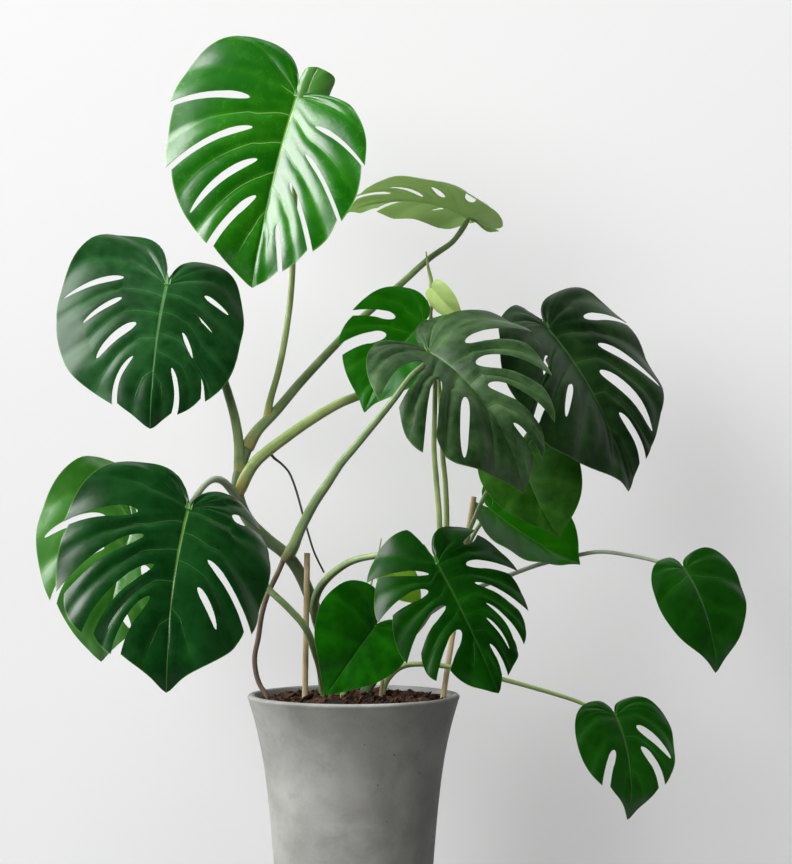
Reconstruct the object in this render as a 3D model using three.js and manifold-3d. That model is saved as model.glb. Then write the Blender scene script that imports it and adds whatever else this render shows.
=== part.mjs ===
// Potted swiss cheese plant: concrete pot, soil, canes, stems, leaf stalks and cut leaves.
// Millimetres, +Z up, origin at the middle of the pot's underside, the front faces -Y.
import * as THREE from 'three';
import { mergeVertices } from 'three/addons/utils/BufferGeometryUtils.js';
import Module from 'manifold-3d';

const wasm = await Module();
wasm.setup();

// Pot and soil
const POT_HEIGHT = 330;
const POT_SIDES = 36;
const POT_WALL = 11;
const POT_FLOOR = 24;
const POT_OUTER = [
  [100, 0], [104.5, 103], [110, 169], [113, 198], [117.5, 235], [124, 270], [130, 296], [138.5, 324],
];
const RIM_RADIUS = 140;
const RIM_ROUND = 3;
const RIM_BEVEL = 1;
const RIM_INNER = 2;
const DRAIN_RADIUS = 9;
const DRAIN_CIRCLE = 58;
const DRAIN_COUNT = 3;
const SOIL_LEVEL = 320;
const SOIL_MOUND = 4;
const SOIL_LUMP = 2;
const SOIL_RINGS = 5;
const SOIL_EDGE = 6;
const LUMPS = { across: 7, deep: 6, slant: 4.3, slantShare: 0.6, shift: 1.3 };
const SOIL_GAP = 0.5;
const HOLE_GAP = 0.8;
const HOLE_SIDES = 12;
const HOLE_BELOW = 3;

// Leaf blades
const BLADE_THICKNESS = 0.9;
const LAST_VEIN = 0.72;
const BASE_SHARE = 0.4;
const VEIN_LIFT = 0.22;
const SINUS_GAP = 0.03;
const SINUS_START = 0.3;
const SINUS_DEPTH = 0.75;
const LOBE_INNER = 0.45;
const LOBE_ROUND = 0.6;
const TIP_ROUND = 0.2;
const MARGIN_STEPS = 24;
const CUT_COLUMNS = 12;
const WHOLE_COLUMNS = 8;
const CUT_ROWS = [0, 0.08, 0.35, 0.7, 1];
const WHOLE_ROWS = [0, 0.34, 0.66, 0.88, 1];
const DEFAULT_REACH = [0.33, 0.88];
const SLIT_ROUND = 0.3;
const FARTHEST_CUT = 0.97;
const VEIN_RISE = 0.62;
const DRIP_FROM = 0.55;
const DRIP_TO = 0.9;
const DRIP_WIDTH = 0.12;
const EAR_SPAN = 0.12;
const TURN_LIMITS = [-0.4, 1];
const SWAY_LIMITS = [-0.3, 1];
const LEAST_DROOP = 0.5;
const FLATTEST = 1e-5;
const SHARE_STEP = 0.004;
const WELD = 1e-3;

// Tubes
const TUBE_SIDES = 7;
const CANE_SIDES = 10;
const STALK_GAP = 1.4;
const STALK_TURN = 3.5;
const STALK_END = 0.5;
const CUT_GAP = 0.4;

const FINISHES = {
  pot: { color: 0x8f9090, roughness: 0.85 },
  soil: { color: 0x3a2318, roughness: 0.95 },
  cane: { color: 0xc69c78, roughness: 0.7 },
  stem: { color: 0x5f7a48, roughness: 0.6 },
  stalk: { color: 0x748c52, roughness: 0.55 },
  leaf: { color: 0x1f5a22, roughness: 0.45 },
  young: { color: 0xa6c64a, roughness: 0.5 },
  root: { color: 0x8a6a58, roughness: 0.8 },
};

// A slit or hole: where it starts and ends as [share of the margin, reach from midrib to margin],
// how wide it is, and for a slit that opens at the margin (reach 1) its mouth as a part of that width.
const slit = (near, far, width, mouth = 0.75) => ({ near, far, width, mouth });

// Each leaf: place of base and tip, turns in degrees, and the two halves of its flat outline.
// A half's tilt and curve add to the leaf's fold and curl; its ear bends the basal lobe only.
const LEAVES = {
  crown: {
    base: [-74, -20, 1113], tip: [-129, -87, 860], roll: 0, fold: 6, curl: 30, droop: 16, twist: -1,
    sway: -5, drip: 4,
    left: {
      width: 162, widest: 30, lobe: 77, lobeOut: 86, belly: 0.41, point: 0.68, ear: -5, hook: 0.04,
      slits: [
        slit([0.49, 0.36], [0.49, 1], 12), slit([0.59, 0.28], [0.66, 1], 11),
        slit([0.7, 0.2], [0.78, 0.95], 12), slit([0.83, 0.2], [0.87, 1], 12),
      ],
    },
    right: {
      width: 124, widest: 111, lobe: 5, lobeOut: 19, belly: 0.41, point: 0.63, ear: 11, hook: 0.04,
      tilt: 26, curve: -10,
      slits: [
        slit([0.5, 0.34], [0.45, 1], 8), slit([0.61, 0.34], [0.64, 1], 7),
        slit([0.73, 0.3], [0.77, 1], 8), slit([0.86, 0.44], [0.89, 1], 10),
      ],
    },
  },
  left_high: {
    base: [-243, -40, 866], tip: [-258, -110, 679], roll: -1, fold: -4, curl: 20, droop: 25, twist: -2,
    sway: -4, drip: 8,
    left: {
      width: 143, widest: 22, lobe: 84, lobeOut: 72, belly: 0.42, point: 0.8, ear: -31, hook: 0.06,
      slits: [
        slit([0.46, 0.41], [0.51, 0.96], 10), slit([0.55, 0.38], [0.62, 0.74], 10),
        slit([0.66, 0.22], [0.75, 0.7], 14), slit([0.8, 0.31], [0.89, 1], 7),
      ],
    },
    right: {
      width: 111, widest: 51, lobe: 51, lobeOut: 44, belly: 0.42, point: 0.84, ear: -5, hook: 0.06,
      tilt: -4, curve: -4,
      slits: [
        slit([0.45, 0.47], [0.48, 0.79], 9), slit([0.55, 0.36], [0.59, 0.64], 4),
        slit([0.66, 0.3], [0.73, 0.54], 9), slit([0.76, 0.77], [0.8, 1], 3),
        slit([0.82, 0.36], [0.91, 1], 8),
      ],
    },
  },
  left_low: {
    base: [-209, -120, 576], tip: [-228, -220, 353], roll: -20, fold: 2, curl: 39, droop: 16, twist: -3,
    sway: -10, drip: 10,
    left: {
      width: 155, widest: 46, lobe: 61, lobeOut: 86, belly: 0.6, point: 0.84, ear: -11, hook: 0.06,
      slits: [
        slit([0.48, 0.4], [0.46, 1], 17), slit([0.57, 0.31], [0.65, 1], 15),
        slit([0.68, 0.2], [0.78, 1], 14), slit([0.79, 0.28], [0.86, 1], 13),
      ],
    },
    right: {
      width: 130, widest: 61, lobe: 38, lobeOut: 56, belly: 0.6, point: 0.46, ear: 44, hook: 0.06, tilt: 12,
      slits: [
        slit([0.39, 0.46], [0.33, 1], 16), slit([0.61, 0.31], [0.69, 1], 11),
        slit([0.72, 0.31], [0.77, 0.74], 11),
      ],
    },
  },
  left_behind: {
    base: [-292, 20, 553], tip: [-329, -28, 375], roll: 4, fold: 11, curl: 21, droop: 35, twist: -1,
    sway: -2, drip: 2,
    left: {
      width: 123, widest: 13, lobe: 86, lobeOut: 58, belly: 0.36, point: 0.61, ear: -37, hook: 0.06,
      slits: [slit([0.49, 0.3], [0.6, 0.91], 15), slit([0.62, 0.23], [0.79, 1], 10)],
    },
    right: {
      width: 91, widest: 48, lobe: 45, lobeOut: 40, belly: 0.36, point: 0.2, ear: 0, hook: 0.06, tilt: 4,
      curve: 10,
      slits: [slit([0.64, 0.36], [0.71, 1], 16), slit([0.85, 0.2], [0.84, 0.9], 11)],
    },
  },
  centre_front: {
    base: [98, -80, 777], tip: [214, -137, 597], roll: -33, fold: 28, curl: 43, droop: 69, twist: -11,
    sway: 4, drip: 6,
    left: {
      width: 141, widest: 107, lobe: 27, lobeOut: 42, belly: 0.3, point: 0.18, ear: -13, hook: 0.16,
      slits: [
        slit([0.51, 0.3], [0.48, 1], 22, 1.7), slit([0.6, 0.34], [0.65, 1], 15),
        slit([0.71, 0.27], [0.76, 0.93], 14),
      ],
    },
    right: {
      width: 125, widest: 23, lobe: 57, lobeOut: 61, belly: 0.3, point: 0.61, ear: 7, hook: 0.16,
      slits: [
        slit([0.52, 0.31], [0.55, 1], 18, 1.3), slit([0.62, 0.23], [0.69, 1], 22, 1),
        slit([0.72, 0.2], [0.81, 1], 18),
        slit([0.86, 0.4], [0.9, 1], 9),
      ],
    },
  },
  right_dark: {
    base: [259, 70, 813], tip: [365, 33, 596], roll: -43, fold: 20, curl: 36, droop: 24, twist: -5, sway: 9,
    drip: 10,
    left: {
      width: 139, widest: 100, lobe: 42, lobeOut: 21, belly: 0.53, point: 0.4, ear: -12, hook: 0.06,
      slits: [
        slit([0.53, 0.38], [0.56, 0.58], 10), slit([0.6, 0.72], [0.61, 1], 15),
        slit([0.66, 0.32], [0.69, 0.69], 11),
      ],
    },
    right: {
      width: 133, widest: 24, lobe: 45, lobeOut: 66, belly: 0.53, point: 0.57, ear: -3, hook: 0.06,
      slits: [
        slit([0.44, 0.43], [0.44, 1], 14), slit([0.56, 0.37], [0.66, 0.97], 17),
        slit([0.67, 0.22], [0.81, 0.93], 22), slit([0.83, 0.34], [0.91, 1], 15),
      ],
    },
  },
  centre_behind: {
    base: [91, 0, 817], tip: [15, -30, 700], roll: 21, fold: 15, curl: 11, droop: 35, twist: -2, sway: -6,
    drip: 6,
    left: {
      width: 83, widest: 28, lobe: 35, lobeOut: 40, belly: 0.58, point: 0.57, ear: -6, hook: 0.06,
      slits: [slit([0.51, 0.38], [0.53, 1], 14), slit([0.64, 0.31], [0.71, 1], 19)],
    },
    right: {
      width: 69, widest: 21, lobe: 35, lobeOut: 31, belly: 0.58, point: 0.27, ear: 0, hook: 0.06,
      slits: [],
    },
  },
  front_low: {
    base: [108, -130, 507], tip: [183, -189, 349], roll: -7, fold: 12, curl: 24, droop: 20, twist: 2,
    sway: 2, drip: 5,
    left: {
      width: 102, widest: 39, lobe: 63, lobeOut: 15, belly: 0.49, point: 0.77, ear: 17, hook: 0.2,
      slits: [
        slit([0.47, 0.16], [0.4, 1], 9), slit([0.56, 0.27], [0.55, 1], 15),
        slit([0.66, 0.17], [0.71, 1], 14), slit([0.8, 0.18], [0.82, 1], 17),
      ],
    },
    right: {
      width: 98, widest: 25, lobe: 52, lobeOut: 43, belly: 0.49, point: 0.68, ear: 16, hook: 0.14,
      tilt: -20,
      slits: [
        slit([0.37, 0.5], [0.31, 1], 10, 1.4), slit([0.49, 0.34], [0.53, 1], 14),
        slit([0.59, 0.34], [0.68, 1], 8),
        slit([0.69, 0.4], [0.81, 1], 6), slit([0.76, 0.36], [0.85, 0.8], 6),
        slit([0.88, 0.39], [0.94, 1], 8),
      ],
    },
  },
  front_small: {
    base: [28, -80, 424], tip: [-34, -125, 340], roll: -1, fold: 16, curl: 14, droop: 20, twist: -1,
    sway: -1,
    left: {
      width: 75, widest: 16, lobe: 42, lobeOut: 34, belly: 0.48, point: 0.26, ear: -4, hook: 0, slits: [],
    },
    right: {
      width: 58, widest: 19, lobe: 26, lobeOut: 25, belly: 0.48, point: 0.27, ear: 2, hook: 0, slits: [],
    },
  },
  right_hanging: {
    base: [222, 40, 646], tip: [270, 4, 535], roll: -4, fold: 15, curl: 10, droop: 35, twist: 3, sway: -7,
    drip: 3,
    left: {
      width: 63, widest: 11, lobe: 31, lobeOut: 29, belly: 0.51, point: 0.19, ear: 0, hook: 0, slits: [],
    },
    right: {
      width: 74, widest: 26, lobe: 31, lobeOut: 33, belly: 0.51, point: 0.66, ear: 0, hook: 0, slits: [],
    },
  },
  right_folded: {
    base: [186, 130, 567], tip: [305, 102, 495], roll: -53, fold: 17, curl: 1, droop: -6, twist: -11,
    sway: -5, drip: 4,
    left: {
      width: 69, widest: 30, lobe: 27, lobeOut: 31, belly: 0.55, point: 0.4, ear: -13, hook: 0, slits: [],
    },
    right: {
      width: 74, widest: 25, lobe: 32, lobeOut: 34, belly: 0.55, point: 0.8, ear: 0, hook: 0, slits: [],
    },
  },
  far_right: {
    base: [440, 40, 492], tip: [476, -4, 358], roll: -18, fold: 12, curl: 26, droop: 34, twist: 0, sway: 6,
    drip: 5,
    left: {
      width: 60, widest: 44, lobe: 23, lobeOut: 9, belly: 0.5, point: 0.27, ear: 1, hook: 0, slits: [],
    },
    right: {
      width: 66, widest: 18, lobe: 24, lobeOut: 38, belly: 0.5, point: 0.55, ear: -16, hook: 0, slits: [],
    },
  },
  low_right: {
    base: [342, -30, 305], tip: [354, -74, 175], roll: -16, fold: 11, curl: 26, droop: 36, twist: -1,
    sway: 7, drip: 7,
    left: {
      width: 65, widest: 41, lobe: 22, lobeOut: 15, belly: 0.52, point: 0.1, ear: 1, hook: 0.1,
      slits: [slit([0.67, 0.32], [0.77, 1], 14)],
    },
    right: {
      width: 70, widest: 17, lobe: 25, lobeOut: 36, belly: 0.52, point: 0.65, ear: -14, hook: 0.06,
      slits: [slit([0.52, 0.3], [0.62, 0.92], 16), slit([0.66, 0.31], [0.77, 1], 14)],
    },
  },
  top_right: {
    base: [156, 150, 969], tip: [-12, 135, 972], roll: 98, fold: 20, curl: 37, droop: 59, twist: -9,
    sway: 0,
    left: {
      width: 115, widest: 37, lobe: 40, lobeOut: 56, belly: 0.59, point: 0.34, ear: -40, hook: 0.1,
      slits: [slit([0.56, 0.42], [0.58, 0.7], 5), slit([0.76, 0.29], [0.77, 1], 12)],
    },
    right: {
      width: 101, widest: 33, lobe: 44, lobeOut: 47, belly: 0.59, point: 0.53, ear: -4, hook: 0.1,
      slits: [
        slit([0.48, 0.37], [0.45, 0.93], 15), slit([0.61, 0.2], [0.65, 0.45], 12),
        slit([0.72, 0.12], [0.82, 0.6], 9),
        slit([0.86, 0.35], [0.92, 1], 9),
      ],
    },
  },
  new_upper: {
    base: [104, 46, 866], tip: [143, 34, 826], roll: 10, fold: 35, curl: 40, droop: 50, twist: 0, sway: 0,
    left: {
      width: 17, widest: 26, lobe: 3, lobeOut: 5, belly: 0.5, point: 0.3, ear: 0, hook: 0, slits: [],
    },
    right: {
      width: 20, widest: 16, lobe: 4, lobeOut: 7, belly: 0.5, point: 0.5, ear: 0, hook: 0, slits: [],
    },
  },
  new_lower: {
    base: [47, 46, 493], tip: [89, 30, 447], roll: 0, fold: 25, curl: 30, droop: 40, twist: 0, sway: 0,
    left: {
      width: 26, widest: 18, lobe: 8, lobeOut: 10, belly: 0.5, point: 0.3, ear: 0, hook: 0, slits: [],
    },
    right: {
      width: 26, widest: 18, lobe: 8, lobeOut: 10, belly: 0.5, point: 0.3, ear: 0, hook: 0, slits: [],
    },
  },
};

// The small cupped lobe that grows out of the crown leaf beside its stalk
const CROWN_EAR = {
  base: [-62, -25, 1104], tip: [-46, -24, 1152], roll: -6, fold: 15, curl: 60, droop: 14, twist: 0, sway: 3,
  left: { width: 31, widest: 32, lobe: 2, lobeOut: 10, belly: 0.9, point: 0.8, ear: 0, hook: 0, slits: [] },
  right: { width: 17, widest: 30, lobe: 2, lobeOut: 8, belly: 0.9, point: 0.8, ear: 0, hook: 0, slits: [] },
};

// Stems: points up the middle, radius at the foot and at the head.
// A depth is how far the stem goes straight down below its first point.
const STEMS = {
  stem_main: {
    depth: 56, radius: [9, 7.5],
    path: [
      [-17, 39, 329], [-21, 37, 347], [-28, 32, 372], [-42, 24, 413], [-59, 14, 461], [-75, 4, 496],
      [-89, -2, 514],
      [-112, -8, 533], [-136, -14, 557], [-148, -20, 581], [-152, -26, 604], [-147, -28, 631],
      [-138, -28, 657],
    ],
  },
  stem_right: {
    depth: 56, radius: [8.5, 6.5],
    path: [
      [15, 45, 329], [23, 45, 343], [38, 44, 369], [61, 40, 394], [85, 36, 418], [105, 32, 452],
      [115, 30, 489],
    ],
  },
};

// Leaf stalks: from is the stem or stalk that each grows out of, leaf the blade that it carries.
const STALKS = {
  top_right: {
    from: ['stem_main'], leaf: 'top_right', radius: [7.5, 2.8],
    path: [
      [-139, -28, 654], [-127, -24, 675], [-103, -10, 701], [-71, 10, 740], [-25, 40, 791], [7, 62, 825],
      [61, 96, 874], [102, 122, 912], [134, 138, 936],
    ],
  },
  crown: {
    from: ['stem_main', 'stalk_top_right'], leaf: 'crown', radius: [4.5, 3.6],
    path: [
      [-114, -16, 690], [-109, -13, 718], [-100, -8, 750], [-91, 6, 796], [-83, 20, 863], [-80, 26, 943],
      [-78, 24, 1023],
      [-77, 16, 1078],
    ],
  },
  left_high: {
    from: ['stem_main', 'stalk_top_right'], leaf: 'left_high', radius: [7, 3.6],
    path: [
      [-148, -27, 624], [-149, -33, 658], [-154, -36, 692], [-165, -30, 730], [-176, -20, 760],
      [-198, -4, 806],
      [-222, -2, 846],
    ],
  },
  right_dark: {
    from: ['stem_main'], leaf: 'right_dark', radius: [8, 3.2],
    path: [
      [-151, -24, 598], [-128, -36, 635], [-85, -34, 670], [-52, -20, 693], [-18, 0, 713], [4, 16, 722],
      [48, 50, 742],
      [88, 62, 760], [155, 84, 784], [220, 98, 804],
    ],
  },
  left_low: {
    from: ['stem_main', 'stalk_right_dark'], leaf: 'left_low', radius: [5.5, 3.6],
    path: [[-149, -21, 586], [-160, -36, 601], [-169, -50, 611], [-178, -64, 614], [-189, -80, 608]],
  },
  left_behind: {
    depth: 50, from: ['stem_main'], leaf: 'left_behind', radius: [6, 3.2],
    path: [
      [-41, 26, 329], [-42, 17, 345], [-44, 4, 362], [-49, -12, 382], [-63, -30, 420], [-85, -34, 446],
      [-111, -26, 470],
      [-142, -6, 507], [-174, 18, 533], [-218, 40, 552], [-262, 38, 560],
    ],
  },
  centre_front: {
    from: ['stem_main'], leaf: 'centre_front', radius: [7.5, 3],
    path: [
      [-90, -1, 510], [-81, -10, 521], [-69, -22, 548], [-51, -34, 582], [-34, -44, 607], [-17, -50, 633],
      [0, -56, 653], [22, -62, 679], [52, -64, 716], [76, -64, 748],
    ],
  },
  front_low: {
    from: ['stem_main'], leaf: 'front_low', radius: [6.2, 3.4],
    path: [
      [-42, 24, 408], [-50, 4, 430], [-51, -12, 451], [-45, -28, 469], [-34, -42, 484], [-17, -60, 499],
      [0, -76, 509],
      [22, -88, 515], [54, -98, 518], [84, -104, 515],
    ],
  },
  front_small: {
    depth: 50, from: [], leaf: 'front_small', radius: [4.6, 3],
    path: [[-14, 12, 329], [-12, 8, 344], [-7, -2, 364], [4, -22, 392], [16, -42, 414]],
  },
  centre_behind: {
    from: ['stem_right'], leaf: 'centre_behind', radius: [4.2, 2.8],
    path: [
      [110, 31, 470], [111, 18, 502], [113, 12, 530], [113, 12, 559], [109, 14, 612], [106, 14, 651],
      [107, 18, 704],
      [107, 22, 744], [102, 24, 784],
    ],
  },
  new_upper: {
    from: ['stem_right'], leaf: 'new_upper', radius: [4, 2.4],
    path: [
      [114, 30, 484], [121, 33, 512], [123, 34, 558], [121, 34, 611], [118, 36, 642], [116, 40, 691],
      [113, 46, 736],
      [107, 54, 791], [102, 56, 836],
    ],
  },
  right_hanging: {
    from: ['stem_right'], leaf: 'right_hanging', radius: [3.6, 2.6],
    path: [[107, 32, 460], [124, 36, 485], [141, 38, 515], [156, 46, 550], [176, 58, 592], [198, 66, 624]],
  },
  right_folded: {
    from: ['stem_right'], leaf: 'right_folded', radius: [3.6, 2.4],
    path: [[101, 33, 444], [122, 54, 470], [140, 82, 500], [156, 108, 526], [170, 132, 548]],
  },
  far_right: {
    from: ['stem_right'], leaf: 'far_right', radius: [3.6, 2.2],
    path: [
      [92, 35, 430], [122, 66, 446], [155, 92, 460], [209, 118, 480], [250, 128, 494], [304, 128, 507],
      [333, 120, 512],
      [372, 100, 508], [410, 76, 500],
    ],
  },
  low_right: {
    depth: 50, from: [], leaf: 'low_right', radius: [4.6, 2.2],
    path: [
      [38, 33, 329], [42, 31, 342], [50, 26, 354], [64, 16, 365], [87, 6, 369], [135, -6, 365],
      [179, -14, 355],
      [218, -18, 345], [257, -20, 334], [296, -18, 321],
    ],
  },
  new_lower: {
    depth: 40, from: [], leaf: 'new_lower', radius: [2.4, 1.4],
    path: [[-5, 76, 329], [4, 74, 369], [16, 70, 420], [26, 64, 456], [34, 60, 474]],
  },
};

// Slim single pieces, each a tube of its own
const CANES = {
  stake_left: { radius: 3.9, path: [[-65, 0, 268], [-61, -6, 516]] },
  stake_right: { radius: 3.7, path: [[111, -2, 284], [160, 62, 588]] },
};
const EXTRAS = {
  dry_stub: { depth: 40, from: [], radius: [3.4, 2.4], finish: 'cane', path: [[36, 6, 329], [38, 4, 349]] },
  sheath_upper: {
    from: ['stalk_new_upper'], radius: [3.8, 0.8], finish: 'stalk',
    path: [[101, 58, 850], [103, 64, 876], [98, 64, 900], [96, 64, 917]],
  },
  rolled_leaf: {
    depth: 40, from: [], radius: [2, 1], finish: 'young',
    path: [[-12, 90, 329], [0, 86, 380], [19, 80, 458], [30, 76, 500], [36, 74, 532]],
  },
  aerial_root_thick: {
    depth: 22, from: ['stem_main', 'stalk_centre_front'], radius: [3.2, 3.6], finish: 'root',
    path: [
      [-115, 5, 329], [-122, 7, 338], [-128, 10, 352], [-131, 10, 377], [-126, 8, 403], [-121, 4, 435],
      [-113, 0, 462],
      [-101, -4, 487], [-90, -4, 512],
    ],
  },
  aerial_root_thin: {
    from: ['stalk_right_dark'], radius: [1.6, 1.3], finish: 'root',
    path: [
      [-110, -33, 650], [-104, -20, 641], [-95, -18, 634], [-85, -16, 623], [-77, -14, 604],
      [-70, -12, 580],
      [-67, -10, 568], [-60, -6, 543], [-52, -2, 517], [-39, 0, 490],
    ],
  },
};

const root = new THREE.Group();
const solids = new Map();

const degrees = (angle) => THREE.MathUtils.degToRad(angle);
const vector = (point) => new THREE.Vector3(...point);
const smooth = (value) => THREE.MathUtils.smoothstep(value, 0, 1);

// Solids in and out of the boolean library
function toSolid(geometry) {
  const bare = geometry.clone();
  bare.deleteAttribute('normal');
  bare.deleteAttribute('uv');
  const merged = mergeVertices(bare, WELD);
  return new wasm.Manifold(new wasm.Mesh({
    numProp: 3,
    vertProperties: Float32Array.from(merged.getAttribute('position').array),
    triVerts: Uint32Array.from(merged.index.array),
  }));
}

function toGeometry(solid) {
  const mesh = solid.getMesh();
  const geometry = new THREE.BufferGeometry();
  geometry.setAttribute('position', new THREE.BufferAttribute(new Float32Array(mesh.vertProperties), 3));
  geometry.setIndex(new THREE.BufferAttribute(new Uint32Array(mesh.triVerts), 1));
  return geometry;
}

function geometryOf(points, faces) {
  const geometry = new THREE.BufferGeometry();
  const numbers = points.flatMap((point) => [point.x, point.y, point.z]);
  geometry.setAttribute('position', new THREE.Float32BufferAttribute(numbers, 3));
  geometry.setIndex(faces.flat());
  return geometry;
}

function add(name, geometry, finish) {
  const shaded = geometry.toNonIndexed();
  shaded.computeVertexNormals();
  const material = new THREE.MeshStandardMaterial({ ...FINISHES[finish], metalness: 0 });
  const mesh = new THREE.Mesh(shaded, material);
  mesh.name = name;
  root.add(mesh);
}

// Pot: one turned wall with a flat underside and drainage holes beside its middle
function potWallProfile() {
  const inner = POT_OUTER.slice(1).map(([radius, height]) => [radius - POT_WALL, height]);
  const profile = [[0, 0], ...POT_OUTER];
  profile.push([RIM_RADIUS, POT_HEIGHT - RIM_ROUND]);
  profile.push([RIM_RADIUS - RIM_BEVEL, POT_HEIGHT - RIM_BEVEL]);
  profile.push([RIM_RADIUS - RIM_ROUND, POT_HEIGHT]);
  profile.push([RIM_RADIUS - POT_WALL + RIM_INNER, POT_HEIGHT]);
  profile.push([RIM_RADIUS - POT_WALL, POT_HEIGHT - RIM_INNER]);
  profile.push(...inner.reverse().slice(0, -1));
  profile.push([innerRadius(POT_FLOOR), POT_FLOOR], [0, POT_FLOOR]);
  return profile.map(([radius, height]) => new THREE.Vector2(radius, height));
}

function innerRadius(height) {
  for (let i = 1; i < POT_OUTER.length; i += 1) {
    const [r0, z0] = POT_OUTER[i - 1];
    const [r1, z1] = POT_OUTER[i];
    if (height <= z1) return r0 + ((r1 - r0) * (height - z0)) / (z1 - z0) - POT_WALL;
  }
  return RIM_RADIUS - POT_WALL;
}

function upright(geometry) {
  return geometry.rotateX(Math.PI / 2);
}

function cylinderBetween(x, y, low, high, radius) {
  const geometry = upright(new THREE.CylinderGeometry(radius, radius, high - low, HOLE_SIDES));
  return geometry.translate(x, y, (low + high) / 2);
}

function buildPot() {
  let solid = toSolid(upright(new THREE.LatheGeometry(potWallProfile(), POT_SIDES)));
  for (let i = 0; i < DRAIN_COUNT; i += 1) {
    const angle = (2 * Math.PI * i) / DRAIN_COUNT;
    const x = DRAIN_CIRCLE * Math.cos(angle);
    const y = DRAIN_CIRCLE * Math.sin(angle);
    solid = solid.subtract(toSolid(cylinderBetween(x, y, -1, POT_FLOOR + 1, DRAIN_RADIUS)));
  }
  add('pot', toGeometry(solid), 'pot');
}

// Soil: fills the pot from its floor, lumpy on top, with a plain hole for everything that stands in it
function soilHeight(x, y) {
  const share = 1 - Math.hypot(x, y) / RIM_RADIUS;
  const { across, deep, slant, slantShare, shift } = LUMPS;
  const lumps = Math.sin(x / across + shift) * Math.cos(y / deep) + slantShare * Math.sin((x + y) / slant);
  return SOIL_LEVEL + SOIL_MOUND * smooth(share) + SOIL_LUMP * lumps * smooth(share * SOIL_EDGE);
}

function soilRing(radius, height, points) {
  for (let i = 0; i < POT_SIDES; i += 1) {
    const angle = (2 * Math.PI * i) / POT_SIDES;
    const x = radius * Math.sin(angle);
    const y = radius * Math.cos(angle);
    points.push(new THREE.Vector3(x, y, height === null ? soilHeight(x, y) : height));
  }
}

function soilSolid() {
  const points = [new THREE.Vector3(0, 0, POT_FLOOR + SOIL_GAP)];
  const heights = [POT_FLOOR + SOIL_GAP, ...POT_OUTER.slice(1, -1).map(([, height]) => height)];
  heights.forEach((height) => soilRing(innerRadius(height) - SOIL_GAP, height, points));
  const edge = innerRadius(SOIL_LEVEL) - SOIL_GAP;
  for (let ring = SOIL_RINGS; ring >= 1; ring -= 1) soilRing((edge * ring) / SOIL_RINGS, null, points);
  points.push(new THREE.Vector3(0, 0, soilHeight(0, 0)));
  const faces = [];
  const last = points.length - 1;
  const rings = (points.length - 2) / POT_SIDES;
  for (let i = 0; i < POT_SIDES; i += 1) {
    const next = (i + 1) % POT_SIDES;
    faces.push([0, 1 + i, 1 + next]);
    for (let ring = 0; ring + 1 < rings; ring += 1) {
      const low = 1 + ring * POT_SIDES;
      const high = low + POT_SIDES;
      faces.push([low + i, high + i, high + next], [low + i, high + next, low + next]);
    }
    const top = 1 + (rings - 1) * POT_SIDES;
    faces.push([last, top + next, top + i]);
  }
  return toSolid(geometryOf(points, faces));
}

function buildSoil() {
  let solid = soilSolid();
  Object.values({ ...STEMS, ...STALKS, ...EXTRAS }).filter((spec) => spec.depth).forEach((spec) => {
    const [x, y, top] = spec.path[0];
    const low = top - spec.depth - HOLE_BELOW;
    const hole = cylinderBetween(x, y, low, top + HOLE_BELOW, spec.radius[0] + HOLE_GAP);
    solid = solid.subtract(toSolid(hole));
  });
  Object.values(CANES).forEach(({ path, radius }) => {
    solid = solid.subtract(toSolid(caneGeometry(path, radius + HOLE_GAP, HOLE_BELOW)));
  });
  add('soil', toGeometry(solid), 'soil');
}

function caneGeometry(path, radius, extend) {
  return tubeGeometry(path, [radius, radius], CANE_SIDES, extend);
}

// Tubes: one ring at each point of the path, tapered from foot to head, closed at both ends
function tubeGeometry(path, radii, sides, extend = 0) {
  const centres = path.map(vector);
  const last = centres.length - 1;
  const tangents = centres.map((_, i) => {
    const ahead = centres[Math.min(last, i + 1)].clone();
    return ahead.sub(centres[Math.max(0, i - 1)]).normalize();
  });
  const points = [];
  const faces = [];
  let normal = new THREE.Vector3(0, 1, 0);
  centres.forEach((centre, i) => {
    const tangent = tangents[i];
    normal = normal.clone().addScaledVector(tangent, -normal.dot(tangent)).normalize();
    const binormal = new THREE.Vector3().crossVectors(tangent, normal);
    const radius = THREE.MathUtils.lerp(radii[0], radii[1], i / last);
    const shift = (i === last ? extend : 0) - (i === 0 ? extend : 0);
    for (let k = 0; k < sides; k += 1) {
      const angle = (2 * Math.PI * k) / sides;
      const point = centre.clone().addScaledVector(tangent, shift);
      point.addScaledVector(normal, radius * Math.cos(angle));
      point.addScaledVector(binormal, radius * Math.sin(angle));
      points.push(point);
    }
  });
  for (let i = 0; i < last; i += 1) {
    for (let k = 0; k < sides; k += 1) {
      const a = i * sides + k;
      const b = i * sides + ((k + 1) % sides);
      faces.push([a, b, b + sides], [a, b + sides, a + sides]);
    }
  }
  const top = last * sides;
  for (let k = 1; k + 1 < sides; k += 1) {
    faces.push([0, k + 1, k], [top, top + k, top + k + 1]);
  }
  return geometryOf(points, faces);
}

function withFoot(spec) {
  if (!spec.depth) return spec.path;
  const [x, y, top] = spec.path[0];
  return [[x, y, top - spec.depth], [x, y, top - spec.depth / 2], ...spec.path];
}

// The part of a tube that is outside what it grows from
function grownTube(name, path, spec) {
  let solid = toSolid(tubeGeometry(path, spec.radius, TUBE_SIDES));
  (spec.from ?? []).forEach((parent) => {
    solid = solid.subtract(toSolid(solids.get(parent)));
  });
  const wide = spec.radius.map((radius) => radius + CUT_GAP);
  solids.set(name, tubeGeometry(path, wide, TUBE_SIDES, CUT_GAP));
  const pieces = solid.decompose();
  pieces.sort((a, b) => b.volume() - a.volume());
  return toGeometry(pieces[0]);
}

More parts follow.
